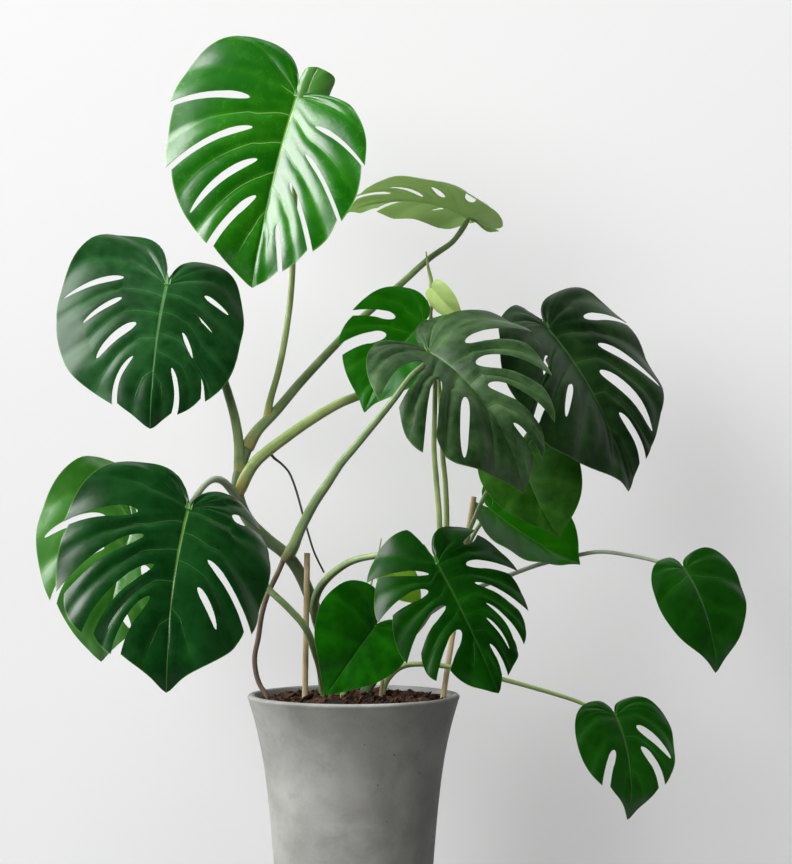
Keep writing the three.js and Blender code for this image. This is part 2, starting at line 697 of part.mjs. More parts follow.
// Flat outline of half a blade: u away from the midrib, v from the base towards the tip.
// A drip draws the margin back on both sides of the tip and leaves the tip standing out.
function marginOf(half, length, drip) {
  const { width, widest, lobe, lobeOut, belly, point } = half;
  const gap = SINUS_GAP * width;
  const flat = (u, v) => new THREE.Vector2(u, v);
  const curves = [
    new THREE.CubicBezierCurve(flat(gap * SINUS_START, 0), flat(gap, -SINUS_DEPTH * lobe),
      flat(lobeOut * LOBE_INNER, -lobe), flat(lobeOut, -lobe)),
    new THREE.CubicBezierCurve(flat(lobeOut, -lobe), flat(lobeOut + LOBE_ROUND * (width - lobeOut), -lobe),
      flat(width, widest - LOBE_ROUND * (widest + lobe)), flat(width, widest)),
    new THREE.CubicBezierCurve(flat(width, widest), flat(width, widest + belly * (length - widest)),
      flat(point * width, length - TIP_ROUND * (length - widest)), flat(0, length)),
  ];
  const points = curves.flatMap((curve, i) => curve.getPoints(MARGIN_STEPS).slice(i ? 1 : 0));
  points.forEach((point) => {
    const near = smooth((point.y / length - DRIP_FROM) / (DRIP_TO - DRIP_FROM));
    point.y -= drip * near * (1 - Math.exp(-((point.x / (DRIP_WIDTH * width)) ** 2)));
  });
  const runs = [0];
  for (let i = 1; i < points.length; i += 1) runs.push(runs[i - 1] + points[i].distanceTo(points[i - 1]));
  const total = runs[runs.length - 1];
  return { points, shares: runs.map((run) => run / total) };
}

function marginPoint(margin, share) {
  const { points, shares } = margin;
  let i = 1;
  while (i < shares.length - 1 && shares[i] < share) i += 1;
  const part = (share - shares[i - 1]) / (shares[i] - shares[i - 1]);
  return points[i - 1].clone().lerp(points[i], THREE.MathUtils.clamp(part, 0, 1));
}

// Where a side vein starts, from 0 at the base to 1 at the last vein
function veinRun(share) {
  return THREE.MathUtils.clamp((share - BASE_SHARE) / (1 - BASE_SHARE), 0, 1);
}

// How far the start of a side vein moves up the midrib, so that the vein leaves the midrib nearly square
function veinShift(length, share) {
  const run = veinRun(share);
  return -LAST_VEIN * length * VEIN_RISE * run * (1 - run) ** 2;
}

// A point on the side vein that ends at this share of the margin, reach 0 at the midrib and 1 at the margin
function veinPoint(half, share, reach) {
  const end = marginPoint(half.margin, share);
  const start = LAST_VEIN * half.length * veinRun(share);
  const span = Math.hypot(end.x, end.y - start);
  const lift = VEIN_LIFT * span * Math.sin(Math.PI * THREE.MathUtils.clamp(share, 0, 1));
  const a = (1 - reach) ** 2;
  const b = 2 * reach * (1 - reach);
  const c = reach ** 2;
  return new THREE.Vector2(
    b * (end.x / 2) + c * end.x,
    a * start + b * ((start + end.y) / 2 - lift) + c * end.y,
  );
}

// The blade's frame: d from base to tip, n out of the upper face, l to the right seen from above it
function bladeFrame(leaf) {
  const base = vector(leaf.base);
  const d = vector(leaf.tip).sub(base);
  const chord = d.length();
  d.divideScalar(chord);
  const front = new THREE.Vector3(0, -1, 0);
  front.addScaledVector(d, -front.dot(d)).normalize();
  const roll = degrees(leaf.roll);
  const n = front.clone().multiplyScalar(Math.cos(roll));
  n.addScaledVector(new THREE.Vector3().crossVectors(d, front), Math.sin(roll));
  const l = new THREE.Vector3().crossVectors(n, d);
  const arc = degrees(Math.abs(leaf.droop) < LEAST_DROOP ? LEAST_DROOP : leaf.droop);
  return { base, d, n, l, arc, length: (arc * chord) / (2 * Math.sin(arc / 2)) };
}

// Bends the flat half blade: droop along the midrib, fold at it, curl towards the margin
function placePoint(leaf, frame, half, side, flat) {
  const { base, d, n, l, arc, length } = frame;
  const bend = arc / length;
  const angle = arc / 2 - bend * flat.y;
  const along = (Math.sin(arc / 2) - Math.sin(angle)) / bend;
  const out = (Math.cos(angle) - Math.cos(arc / 2)) / bend;
  const fold = degrees(leaf.fold + (half.tilt ?? 0));
  const earShare = smooth((EAR_SPAN * length - flat.y) / (half.lobe + EAR_SPAN * length));
  let curl = degrees(leaf.curl + (half.curve ?? 0) + half.ear * earShare) / half.width;
  if (Math.abs(curl) < FLATTEST) curl = FLATTEST;
  const across = (Math.sin(fold) - Math.sin(fold - curl * flat.x)) / curl;
  const rise = (Math.cos(fold - curl * flat.x) - Math.cos(fold)) / curl;
  const run = flat.y / length;
  const twist = degrees(leaf.twist) * THREE.MathUtils.clamp(run, ...TURN_LIMITS);
  const swayRun = THREE.MathUtils.clamp(run, ...SWAY_LIMITS);
  const sway = 4 * leaf.sway * swayRun * (1 - swayRun);
  const up = d.clone().multiplyScalar(-Math.sin(angle)).addScaledVector(n, Math.cos(angle));
  const upTurned = up.clone().multiplyScalar(Math.cos(twist)).addScaledVector(l, Math.sin(twist));
  const sideways = l.clone().multiplyScalar(Math.cos(twist)).addScaledVector(up, -Math.sin(twist));
  return base.clone().addScaledVector(d, along).addScaledVector(n, out).addScaledVector(l, sway)
    .addScaledVector(sideways, side * across).addScaledVector(upTurned, rise);
}

// The middle line of a slit, as a share of the margin at each reach
function slitCentre(cut, reach) {
  const slope = (cut.far[0] - cut.near[0]) / (cut.far[1] - cut.near[1]);
  const past = reach < cut.near[1] ? 0.5 : 1;
  return cut.near[0] + past * slope * (reach - cut.near[1]);
}

// Half the slit's width at a reach, in share of the margin
function slitHalfWidth(half, cut, reach) {
  const part = (reach - cut.near[1]) / (cut.far[1] - cut.near[1]);
  if (part <= 0 || (part >= 1 && cut.far[1] < 1)) return 0;
  const open = cut.far[1] >= 1;
  const start = Math.min(1, part / SLIT_ROUND);
  const inner = Math.sqrt(start * (2 - start));
  const closing = Math.sqrt(Math.max(0, 1 - ((part - SLIT_ROUND) / (1 - SLIT_ROUND)) ** 2));
  const outer = open ? 1 - (1 - cut.mouth) * part : closing;
  const shape = part < SLIT_ROUND ? inner : outer;
  const share = slitCentre(cut, reach);
  const before = veinPoint(half, share - SHARE_STEP, reach);
  const speed = before.distanceTo(veinPoint(half, share + SHARE_STEP, reach)) / (2 * SHARE_STEP);
  return (cut.width * shape) / 2 / speed;
}

// Columns between the slits, shared out by how much margin each finger has
function fingerColumns(slits, total) {
  const middles = slits.map((cut) => (cut.near[0] + cut.far[0]) / 2);
  const bounds = [0, ...middles, 1];
  const counts = bounds.slice(1).map((bound, i) => Math.max(1, Math.floor((bound - bounds[i]) * total)));
  const fullness = (i) => counts[i] / (bounds[i + 1] - bounds[i]);
  while (counts.reduce((sum, count) => sum + count, 0) < total) {
    let thinnest = 0;
    counts.forEach((_, i) => {
      if (fullness(i) < fullness(thinnest)) thinnest = i;
    });
    counts[thinnest] += 1;
  }
  return counts;
}

// Grid of points over half a blade: grid[finger][column][row]
function halfGrid(leaf, frame, half, side, total, steps) {
  const counts = fingerColumns(half.slits, total);
  const whole = leaf.left.slits.length + leaf.right.slits.length === 0;
  const grid = [];
  let passed = 0;
  counts.forEach((count, finger) => {
    const before = half.slits[finger - 1];
    const after = half.slits[finger];
    const columns = [];
    for (let c = 0; c <= count; c += 1) {
      const part = c / count;
      const [nearA, farA] = before ? [before.near[1], before.far[1]] : DEFAULT_REACH;
      const [nearB, farB] = after ? [after.near[1], after.far[1]] : DEFAULT_REACH;
      const near = THREE.MathUtils.lerp(nearA, nearB, part);
      const far = Math.min(FARTHEST_CUT, THREE.MathUtils.lerp(farA, farB, part));
      const reaches = whole ? steps : [0, near / 2, ...steps.map((step) => near + step * (far - near)), 1];
      columns.push(reaches.map((reach) => {
        const left = before ? slitCentre(before, reach) + slitHalfWidth(half, before, reach) : 0;
        const right = after ? slitCentre(after, reach) - slitHalfWidth(half, after, reach) : 1;
        const even = (passed + c) / total;
        const spread = smooth(reach / near);
        const share = THREE.MathUtils.lerp(even, THREE.MathUtils.lerp(left, right, part), spread);
        const cutBack = before && before.far[1] >= 1 ? half.hook * (1 - part) ** 2 : 0;
        const pulled = reach * (1 - cutBack * smooth((reach - near) / (1 - near)));
        const flat = veinPoint(half, share, pulled);
        flat.y += veinShift(half.length, even) * (1 - spread);
        return placePoint(leaf, frame, half, side, flat);
      }));
    }
    passed += count;
    grid.push(columns);
  });
  return grid;
}

// Mid surface of a blade, welded along the midrib and wherever no slit parts the columns
function bladeSurface(leaf) {
  const frame = bladeFrame(leaf);
  const cuts = leaf.left.slits.length + leaf.right.slits.length;
  const total = cuts ? CUT_COLUMNS : WHOLE_COLUMNS;
  const steps = cuts ? CUT_ROWS : WHOLE_ROWS;
  const points = [];
  const faces = [];
  const seen = new Map();
  const indexOf = (point) => {
    const key = [point.x, point.y, point.z].map((value) => Math.round(value / (10 * WELD))).join();
    if (!seen.has(key)) {
      seen.set(key, points.length);
      points.push(point);
    }
    return seen.get(key);
  };
  [['left', -1], ['right', 1]].forEach(([name, side]) => {
    const margin = marginOf(leaf[name], frame.length, leaf.drip ?? 0);
    const half = { ...leaf[name], length: frame.length, margin };
    halfGrid(leaf, frame, half, side, total, steps).forEach((columns) => {
      for (let c = 0; c + 1 < columns.length; c += 1) {
        for (let r = 0; r + 1 < columns[c].length; r += 1) {
          const [near, far] = [columns[c], columns[c + 1]];
          const quad = [near[r], far[r], far[r + 1], near[r + 1]].map(indexOf);
          if (side > 0) quad.reverse();
          [[quad[0], quad[1], quad[2]], [quad[0], quad[2], quad[3]]].forEach((face) => {
            if (new Set(face).size === 3) faces.push(face);
          });
        }
      }
    });
  });
  return { points, faces };
}

// A sheet of even thickness with both faces split into triangles alike, closed by walls along its edges
function thicken({ points, faces }, thickness) {
  const normals = points.map(() => new THREE.Vector3());
  faces.forEach(([a, b, c]) => {
    const normal = points[b].clone().sub(points[a]).cross(points[c].clone().sub(points[a]));
    [a, b, c].forEach((index) => normals[index].add(normal));
  });
  normals.forEach((normal) => normal.normalize());
  const upper = points.map((point, i) => point.clone().addScaledVector(normals[i], thickness / 2));
  const lower = points.map((point, i) => point.clone().addScaledVector(normals[i], -thickness / 2));
  const count = points.length;
  const edges = new Set(faces.flatMap(([a, b, c]) => [`${a},${b}`, `${b},${c}`, `${c},${a}`]));
  const all = [...faces, ...faces.map(([a, b, c]) => [c + count, b + count, a + count])];
  edges.forEach((edge) => {
    const [a, b] = edge.split(',').map(Number);
    if (edges.has(`${b},${a}`)) return;
    all.push([b, a, a + count], [b, a + count, b + count]);
  });
  return geometryOf([...upper, ...lower], all);
}

function bladeGeometry(name, leaf) {
  const blade = thicken(bladeSurface(leaf), BLADE_THICKNESS);
  if (name !== 'crown') return blade;
  return toGeometry(toSolid(blade).add(toSolid(thicken(bladeSurface(CROWN_EAR), BLADE_THICKNESS))));
}

// The stalk meets the blade square on, from behind its base
function stalkPath(spec) {
  const leaf = LEAVES[spec.leaf];
  const { base, d, n, arc } = bladeFrame(leaf);
  const back = n.clone().multiplyScalar(-Math.cos(arc / 2)).addScaledVector(d, Math.sin(arc / 2));
  const radius = spec.radius[1];
  const reach = (distance) => base.clone().addScaledVector(back, distance).toArray();
  return [...withFoot(spec), reach(radius * STALK_TURN), reach(radius * STALK_END + STALK_GAP)];
}

for (const [name, spec] of Object.entries(STEMS)) {
  add(name, grownTube(name, withFoot(spec), spec), 'stem');
}
for (const [name, spec] of Object.entries(STALKS)) {
  add(`stalk_${name}`, grownTube(`stalk_${name}`, stalkPath(spec), spec), 'stalk');
}
for (const [name, spec] of Object.entries(EXTRAS)) {
  add(name, grownTube(name, withFoot(spec), spec), spec.finish);
}
for (const [name, { path, radius }] of Object.entries(CANES)) {
  add(name, caneGeometry(path, radius, 0), 'cane');
}
for (const [name, leaf] of Object.entries(LEAVES)) {
  add(`leaf_${name}`, bladeGeometry(name, leaf), name.startsWith('new_') ? 'young' : 'leaf');
}
buildPot();
buildSoil();

export default root;
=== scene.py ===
"""Looks for the potted swiss cheese plant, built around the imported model. Metres, +Z up."""

import math

import bpy
import numpy as np
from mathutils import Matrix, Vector


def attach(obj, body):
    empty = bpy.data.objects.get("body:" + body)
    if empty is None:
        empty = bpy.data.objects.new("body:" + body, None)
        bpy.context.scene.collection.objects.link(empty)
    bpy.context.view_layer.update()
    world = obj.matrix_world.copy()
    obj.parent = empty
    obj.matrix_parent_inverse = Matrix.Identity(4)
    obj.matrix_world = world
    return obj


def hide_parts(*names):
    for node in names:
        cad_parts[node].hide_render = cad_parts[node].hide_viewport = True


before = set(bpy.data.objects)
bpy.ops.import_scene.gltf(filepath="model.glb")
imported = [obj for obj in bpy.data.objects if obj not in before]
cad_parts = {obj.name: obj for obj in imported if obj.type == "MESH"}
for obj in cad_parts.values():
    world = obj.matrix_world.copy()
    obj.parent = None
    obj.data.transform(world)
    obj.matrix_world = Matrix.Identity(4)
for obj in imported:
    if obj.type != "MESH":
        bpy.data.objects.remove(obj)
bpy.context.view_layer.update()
MM = 0.001
rng = np.random.default_rng(7)

# Leaf blades, in mm and degrees, as in the solid model
BLADE_THICKNESS = 0.9
LAST_VEIN = 0.72
BASE_SHARE = 0.4
VEIN_LIFT = 0.22
SINUS_GAP = 0.03
SINUS_START = 0.3
SINUS_HANDLE = 0.75
LOBE_HANDLE = 0.45
SIDE_HANDLE = 0.6
TIP_HANDLE = 0.2
DEFAULT_REACH = (0.33, 0.88)
SLIT_ROUND = 0.3
FARTHEST_CUT = 0.97
VEIN_RISE = 0.62
DRIP_FROM = 0.55
DRIP_TO = 0.9
DRIP_WIDTH = 0.12
EAR_SPAN = 0.12
LEAST_CURL = 1e-5
LEAST_DROOP = 0.5
TWIST_FROM = -0.4
SWAY_FROM = -0.3

# The grid of a blade, and how a slit runs on where the blade is whole
CUT_COLUMNS = 72
WHOLE_COLUMNS = 48
RIB_STEPS = [0, 0.03, 0.08, 0.16, 0.28, 0.42, 0.56, 0.7, 0.84]
SLIT_STEPS = [
    0, 0.012, 0.035, 0.07, 0.12, 0.19, 0.28, 0.38, 0.48, 0.58, 0.68, 0.77, 0.85, 0.91, 0.955, 0.985, 1]
EDGE_STEPS = [0.3, 0.6, 0.85]
OUTLINE_POINTS = 80
LEAN_BEFORE = 0.5
LEAN_AFTER = 0.2
SHARE_STEP = 0.004
FAR_AWAY = 1000.0
ALONG_FROM = -0.5

# Relief of a blade: quilted between the side veins and wavy along the margin, given for a half this wide
RELIEF_WIDTH = 120
VEIN_SPACING = 0.19
ARCH_TURN = 0.72
ARCH_END = 0.97
ARCH_FULLNESS = 0.7
WAVE_TURNS = 31
WAVE_FROM = 0.55
HALF_SHIFT = 1.7
PLACE_SHIFT = 0.013
FULL_TURN = 6.28
DIP_DEPTH = 2.2
DIP_FROM = 0.75

# The midrib: a groove on the upper side and a keel below, given for a half this wide
RIB_BLADE_WIDTH = 150
RIB_RISE = 3.4
RIB_TIP_RISE = 0.4
RIB_WIDTH = 2.6
RIB_END = 1.02
RIB_FADE = 0.1
RIB_GROOVE = 0.35
RIB_GROOVE_WIDTH = 1.6
BLADE_SHARP = 50


def slit(near, far, width, mouth=0.75):
    """A slit between two (share, reach) places; one that ends short of reach 1 is a hole."""
    return {"near": near, "far": far, "width": width, "mouth": mouth}


def half(width, widest, lobe, lobe_out, belly, point, ear, hook, *slits, tilt=0, curve=0):
    """Half a blade: the handles of its outline, and how far its ear, corners, tilt and curl differ."""
    return {
        "width": width, "widest": widest, "lobe": lobe, "lobe_out": lobe_out, "belly": belly, "point": point,
        "ear": ear, "hook": hook, "tilt": tilt, "curve": curve, "slits": list(slits),
    }


def leaf(base, tip, roll, fold, curl, droop, twist, sway, drip, left, right, look, quilt=2.4, wave=2.0):
    """A blade between the place where its stalk ends and its tip."""
    return {
        "base": base, "tip": tip, "roll": roll, "fold": fold, "curl": curl, "droop": droop, "twist": twist,
        "sway": sway, "drip": drip, "left": left, "right": right, "look": look, "quilt": quilt, "wave": wave,
    }


LEAVES = {
    "crown": leaf(
        (-74, -20, 1113), (-129, -87, 860), 0, 6, 30, 16, -1, -5, 4,
        half(162, 30, 77, 86, 0.41, 0.68, -5, 0.04,
             slit((0.49, 0.36), (0.49, 1), 12), slit((0.59, 0.28), (0.66, 1), 11),
             slit((0.7, 0.2), (0.78, 0.95), 12), slit((0.83, 0.2), (0.87, 1), 12)),
        half(124, 111, 5, 19, 0.41, 0.63, 11, 0.04,
             slit((0.5, 0.34), (0.45, 1), 8), slit((0.61, 0.34), (0.64, 1), 7),
             slit((0.73, 0.3), (0.77, 1), 8), slit((0.86, 0.44), (0.89, 1), 10), tilt=26, curve=-10),
        "bright"),
    "left_high": leaf(
        (-243, -40, 866), (-258, -110, 679), -1, -4, 20, 25, -2, -4, 8,
        half(143, 22, 84, 72, 0.42, 0.8, -31, 0.06,
             slit((0.46, 0.41), (0.51, 0.96), 10), slit((0.55, 0.38), (0.62, 0.74), 10),
             slit((0.66, 0.22), (0.75, 0.7), 14), slit((0.8, 0.31), (0.89, 1), 7)),
        half(111, 51, 51, 44, 0.42, 0.84, -5, 0.06,
             slit((0.45, 0.47), (0.48, 0.79), 9), slit((0.55, 0.36), (0.59, 0.64), 4),
             slit((0.66, 0.3), (0.73, 0.54), 9), slit((0.76, 0.77), (0.8, 1), 3),
             slit((0.82, 0.36), (0.91, 1), 8), tilt=-4, curve=-4),
        "blue"),
    "left_low": leaf(
        (-209, -120, 576), (-228, -220, 353), -20, 2, 39, 16, -3, -10, 10,
        half(155, 46, 61, 86, 0.6, 0.84, -11, 0.06,
             slit((0.48, 0.4), (0.46, 1), 17), slit((0.57, 0.31), (0.65, 1), 15),
             slit((0.68, 0.2), (0.78, 1), 14), slit((0.79, 0.28), (0.86, 1), 13)),
        half(130, 61, 38, 56, 0.6, 0.46, 44, 0.06,
             slit((0.39, 0.46), (0.33, 1), 16), slit((0.61, 0.31), (0.69, 1), 11),
             slit((0.72, 0.31), (0.77, 0.74), 11), tilt=12),
        "deep", 3, 3),
    "left_behind": leaf(
        (-292, 20, 553), (-329, -28, 375), 4, 11, 21, 35, -1, -2, 2,
        half(123, 13, 86, 58, 0.36, 0.61, -37, 0.06,
             slit((0.49, 0.3), (0.6, 0.91), 15), slit((0.62, 0.23), (0.79, 1), 10)),
        half(91, 48, 45, 40, 0.36, 0.2, 0, 0.06,
             slit((0.64, 0.36), (0.71, 1), 16), slit((0.85, 0.2), (0.84, 0.9), 11), tilt=4, curve=10),
        "pale"),
    "centre_front": leaf(
        (98, -80, 777), (214, -137, 597), -33, 28, 43, 69, -11, 4, 6,
        half(141, 107, 27, 42, 0.3, 0.18, -13, 0.16,
             slit((0.51, 0.3), (0.48, 1), 22, 1.7), slit((0.6, 0.34), (0.65, 1), 15),
             slit((0.71, 0.27), (0.76, 0.93), 14)),
        half(125, 23, 57, 61, 0.3, 0.61, 7, 0.16,
             slit((0.52, 0.31), (0.55, 1), 18, 1.3), slit((0.62, 0.23), (0.69, 1), 22, 1),
             slit((0.72, 0.2), (0.81, 1), 18), slit((0.86, 0.4), (0.9, 1), 9)),
        "grey", 5, 3),
    "right_dark": leaf(
        (259, 70, 813), (365, 33, 596), -43, 20, 36, 24, -5, 9, 10,
        half(139, 100, 42, 21, 0.53, 0.4, -12, 0.06,
             slit((0.53, 0.38), (0.56, 0.58), 10), slit((0.6, 0.72), (0.61, 1), 15),
             slit((0.66, 0.32), (0.69, 0.69), 11)),
        half(133, 24, 45, 66, 0.53, 0.57, -3, 0.06,
             slit((0.44, 0.43), (0.44, 1), 14), slit((0.56, 0.37), (0.66, 0.97), 17),
             slit((0.67, 0.22), (0.81, 0.93), 22), slit((0.83, 0.34), (0.91, 1), 15)),
        "dark", 4, 3),
    "centre_behind": leaf(
        (91, 0, 817), (15, -30, 700), 21, 15, 11, 35, -2, -6, 6,
        half(83, 28, 35, 40, 0.58, 0.57, -6, 0.06,
             slit((0.51, 0.38), (0.53, 1), 14), slit((0.64, 0.31), (0.71, 1), 19)),
        half(69, 21, 35, 31, 0.58, 0.27, 0, 0.06),
        "fresh"),
    "front_low": leaf(
        (108, -130, 507), (183, -189, 349), -7, 12, 24, 20, 2, 2, 5,
        half(102, 39, 63, 15, 0.49, 0.77, 17, 0.2,
             slit((0.47, 0.16), (0.4, 1), 9), slit((0.56, 0.27), (0.55, 1), 15),
             slit((0.66, 0.17), (0.71, 1), 14), slit((0.8, 0.18), (0.82, 1), 17)),
        half(98, 25, 52, 43, 0.49, 0.68, 16, 0.14,
             slit((0.37, 0.5), (0.31, 1), 10, 1.4), slit((0.49, 0.34), (0.53, 1), 14),
             slit((0.59, 0.34), (0.68, 1), 8), slit((0.69, 0.4), (0.81, 1), 6),
             slit((0.76, 0.36), (0.85, 0.8), 6), slit((0.88, 0.39), (0.94, 1), 8), tilt=-20),
        "front"),
    "front_small": leaf(
        (28, -80, 424), (-34, -125, 340), -1, 16, 14, 20, -1, -1, 0,
        half(75, 16, 42, 34, 0.48, 0.26, -4, 0), half(58, 19, 26, 25, 0.48, 0.27, 2, 0), "plain"),
    "right_hanging": leaf(
        (222, 40, 646), (270, 4, 535), -4, 15, 10, 35, 3, -7, 3,
        half(63, 11, 31, 29, 0.51, 0.19, 0, 0), half(74, 26, 31, 33, 0.51, 0.66, 0, 0), "shade"),
    "right_folded": leaf(
        (186, 130, 567), (305, 102, 495), -53, 17, 1, -6, -11, -5, 4,
        half(69, 30, 27, 31, 0.55, 0.4, -13, 0), half(74, 25, 32, 34, 0.55, 0.8, 0, 0), "fresh"),
    "far_right": leaf(
        (440, 40, 492), (476, -4, 358), -18, 12, 26, 34, 0, 6, 5,
        half(60, 44, 23, 9, 0.5, 0.27, 1, 0), half(66, 18, 24, 38, 0.5, 0.55, -16, 0), "low"),
    "low_right": leaf(
        (342, -30, 305), (354, -74, 175), -16, 11, 26, 36, -1, 7, 7,
        half(65, 41, 22, 15, 0.52, 0.1, 1, 0.1, slit((0.67, 0.32), (0.77, 1), 14)),
        half(70, 17, 25, 36, 0.52, 0.65, -14, 0.06,
             slit((0.52, 0.3), (0.62, 0.92), 16), slit((0.66, 0.31), (0.77, 1), 14)),
        "low"),
    "top_right": leaf(
        (156, 150, 969), (-12, 135, 972), 98, 20, 37, 59, -9, 0, 0,
        half(115, 37, 40, 56, 0.59, 0.34, -40, 0.1,
             slit((0.56, 0.42), (0.58, 0.7), 5), slit((0.76, 0.29), (0.77, 1), 12)),
        half(101, 33, 44, 47, 0.59, 0.53, -4, 0.1,
             slit((0.48, 0.37), (0.45, 0.93), 15), slit((0.61, 0.2), (0.65, 0.45), 12),
             slit((0.72, 0.12), (0.82, 0.6), 9), slit((0.86, 0.35), (0.92, 1), 9)),
        "olive_painted_glow"),
    "new_upper": leaf(
        (104, 46, 866), (143, 34, 826), 10, 35, 40, 50, 0, 0, 0,
        half(17, 26, 3, 5, 0.5, 0.3, 0, 0), half(20, 16, 4, 7, 0.5, 0.5, 0, 0), "young", 0.8, 0.5),
    "new_lower": leaf(
        (47, 46, 493), (89, 30, 447), 0, 25, 30, 40, 0, 0, 0,
        half(26, 18, 8, 10, 0.5, 0.3, 0, 0), half(26, 18, 8, 10, 0.5, 0.3, 0, 0), "lime", 0.8, 0.5),
}
CROWN_EAR = leaf(
    (-62, -25, 1104), (-46, -24, 1152), -6, 15, 60, 14, 0, 3, 0,
    half(31, 32, 2, 10, 0.9, 0.8, 0, 0), half(17, 30, 2, 8, 0.9, 0.8, 0, 0), "pale", 0.4, 1.0)


def smooth(value):
    """A soft step from 0 to 1."""
    value = np.clip(value, 0, 1)
    return value * value * (3 - 2 * value)


def ridge(distance, width):
    """A rounded ridge of height 1 along a line, from the distance to it."""
    return np.exp(-(distance / width) ** 2)


def unit(v):
    return v / np.linalg.norm(v)


def runs_along(points):
    """How far each point lies along the path through them."""
    return np.concatenate([[0], np.cumsum(np.linalg.norm(np.diff(points, axis=0), axis=1))])


def bezier(p0, p1, p2, p3):
    t = np.linspace(0, 1, OUTLINE_POINTS)[:, None]
    p0, p1, p2, p3 = (np.array(p, float) for p in (p0, p1, p2, p3))
    return p0 * (1 - t) ** 3 + 3 * p1 * t * (1 - t) ** 2 + 3 * p2 * t * t * (1 - t) + p3 * t ** 3


def margin_of(part, drip):
    """Flat outline of half a blade from base to tip, with the share of its run at each point."""
    w, v, lobe, out = part["width"], part["widest"], part["lobe"], part["lobe_out"]
    length = part["length"]
    gap = SINUS_GAP * w
    curves = [
        bezier((gap * SINUS_START, 0), (gap, -SINUS_HANDLE * lobe), (out * LOBE_HANDLE, -lobe), (out, -lobe)),
        bezier((out, -lobe), (out + SIDE_HANDLE * (w - out), -lobe), (w, v - SIDE_HANDLE * (v + lobe)),
               (w, v))[1:],
        bezier((w, v), (w, v + part["belly"] * (length - v)),
               (part["point"] * w, length - TIP_HANDLE * (length - v)), (0, length))[1:],
    ]
    points = np.vstack(curves)
    near_tip = smooth((points[:, 1] / length - DRIP_FROM) / (DRIP_TO - DRIP_FROM))
    points[:, 1] -= drip * near_tip * (1 - ridge(points[:, 0], DRIP_WIDTH * w))
    runs = runs_along(points)
    return points, runs / runs[-1]


def vein_shift(length, share):
    """How far the start of a side vein moves up the midrib, so that it leaves the midrib nearly square."""
    run = np.clip((share - BASE_SHARE) / (1 - BASE_SHARE), 0, 1)
    return -LAST_VEIN * length * VEIN_RISE * run * (1 - run) ** 2


def vein_point(part, share, reach):
    """Flat place at a share of the margin's run and a reach along the side vein that ends there."""
    points, shares = part["margin"]
    end_u = np.interp(share, shares, points[:, 0])
    end_v = np.interp(share, shares, points[:, 1])
    start = LAST_VEIN * part["length"] * np.clip((share - BASE_SHARE) / (1 - BASE_SHARE), 0, 1)
    span = np.hypot(end_u, end_v - start)
    lift = VEIN_LIFT * span * np.sin(np.pi * np.clip(share, 0, 1))
    a, b, c = (1 - reach) ** 2, 2 * reach * (1 - reach), reach ** 2
    return np.stack([b * end_u / 2 + c * end_u, a * start + b * ((start + end_v) / 2 - lift) + c * end_v], -1)


def blade_frame(spec):
    """Base, direction, normal and left of a blade, with the arc and length of its drooping midrib."""
    base = np.array(spec["base"], float)
    d = np.array(spec["tip"], float) - base
    chord = np.linalg.norm(d)
    d = d / chord
    front = np.array([0, -1.0, 0])
    front = unit(front - front.dot(d) * d)
    roll = math.radians(spec["roll"])
    n = math.cos(roll) * front + math.sin(roll) * np.cross(d, front)
    arc = math.radians(LEAST_DROOP if abs(spec["droop"]) < LEAST_DROOP else spec["droop"])
    return {"base": base, "d": d, "n": n, "l": np.cross(n, d), "arc": arc,
            "length": arc * chord / (2 * math.sin(arc / 2))}


def column(values):
    """Values with one more axis, to multiply a direction."""
    return np.asarray(values)[..., None]


def bend_along(fr, v):
    """Runs along and out of the base's direction for a midrib that droops as an arc, and the slope there."""
    arc = fr["arc"]
    bend = arc / fr["length"]
    angle = arc / 2 - bend * v
    along = (math.sin(arc / 2) - np.sin(angle)) / bend
    out = (np.cos(angle) - math.cos(arc / 2)) / bend
    return along, out, angle


def bend_across(spec, part, length, u, v):
    """Runs sideways and up for half a blade that is folded at the midrib and curls towards its margin."""
    fold = math.radians(spec["fold"] + part["tilt"])
    ear = smooth((EAR_SPAN * length - v) / (part["lobe"] + EAR_SPAN * length))
    curl = np.radians(spec["curl"] + part["curve"] + part["ear"] * ear) / part["width"]
    curl = np.where(np.abs(curl) < LEAST_CURL, LEAST_CURL, curl)
    across = (math.sin(fold) - np.sin(fold - curl * u)) / curl
    rise = (np.cos(fold - curl * u) - math.cos(fold)) / curl
    return across, rise


def place(spec, fr, part, side, flat):
    """Bends the flat half blade: droop, twist and sway along the midrib, fold at it, curl at the margin."""
    u, v = flat[..., 0], flat[..., 1]
    along, out, angle = bend_along(fr, v)
    across, rise = bend_across(spec, part, fr["length"], u, v)
    run = v / fr["length"]
    twist = np.radians(spec["twist"]) * np.clip(run, TWIST_FROM, 1)
    sway_run = np.clip(run, SWAY_FROM, 1)
    sway = 4 * spec["sway"] * sway_run * (1 - sway_run)
    up = -column(np.sin(angle)) * fr["d"] + column(np.cos(angle)) * fr["n"]
    up_turned = column(np.cos(twist)) * up + column(np.sin(twist)) * fr["l"]
    sideways = column(np.cos(twist)) * fr["l"] - column(np.sin(twist)) * up
    middle = fr["base"] + column(along) * fr["d"] + column(out) * fr["n"] + column(sway) * fr["l"]
    return middle + column(side * across) * sideways + column(rise) * up_turned


def slit_centre(cut, reach):
    """Middle line of a slit, which leans less where the blade is whole, before it and after it."""
    (start, near), (end, far) = cut["near"], cut["far"]
    slope = (end - start) / (far - near)
    before = np.minimum(reach - near, 0)
    after = np.maximum(reach - far, 0)
    return start + slope * (np.clip(reach - near, 0, far - near) + LEAN_BEFORE * before + LEAN_AFTER * after)


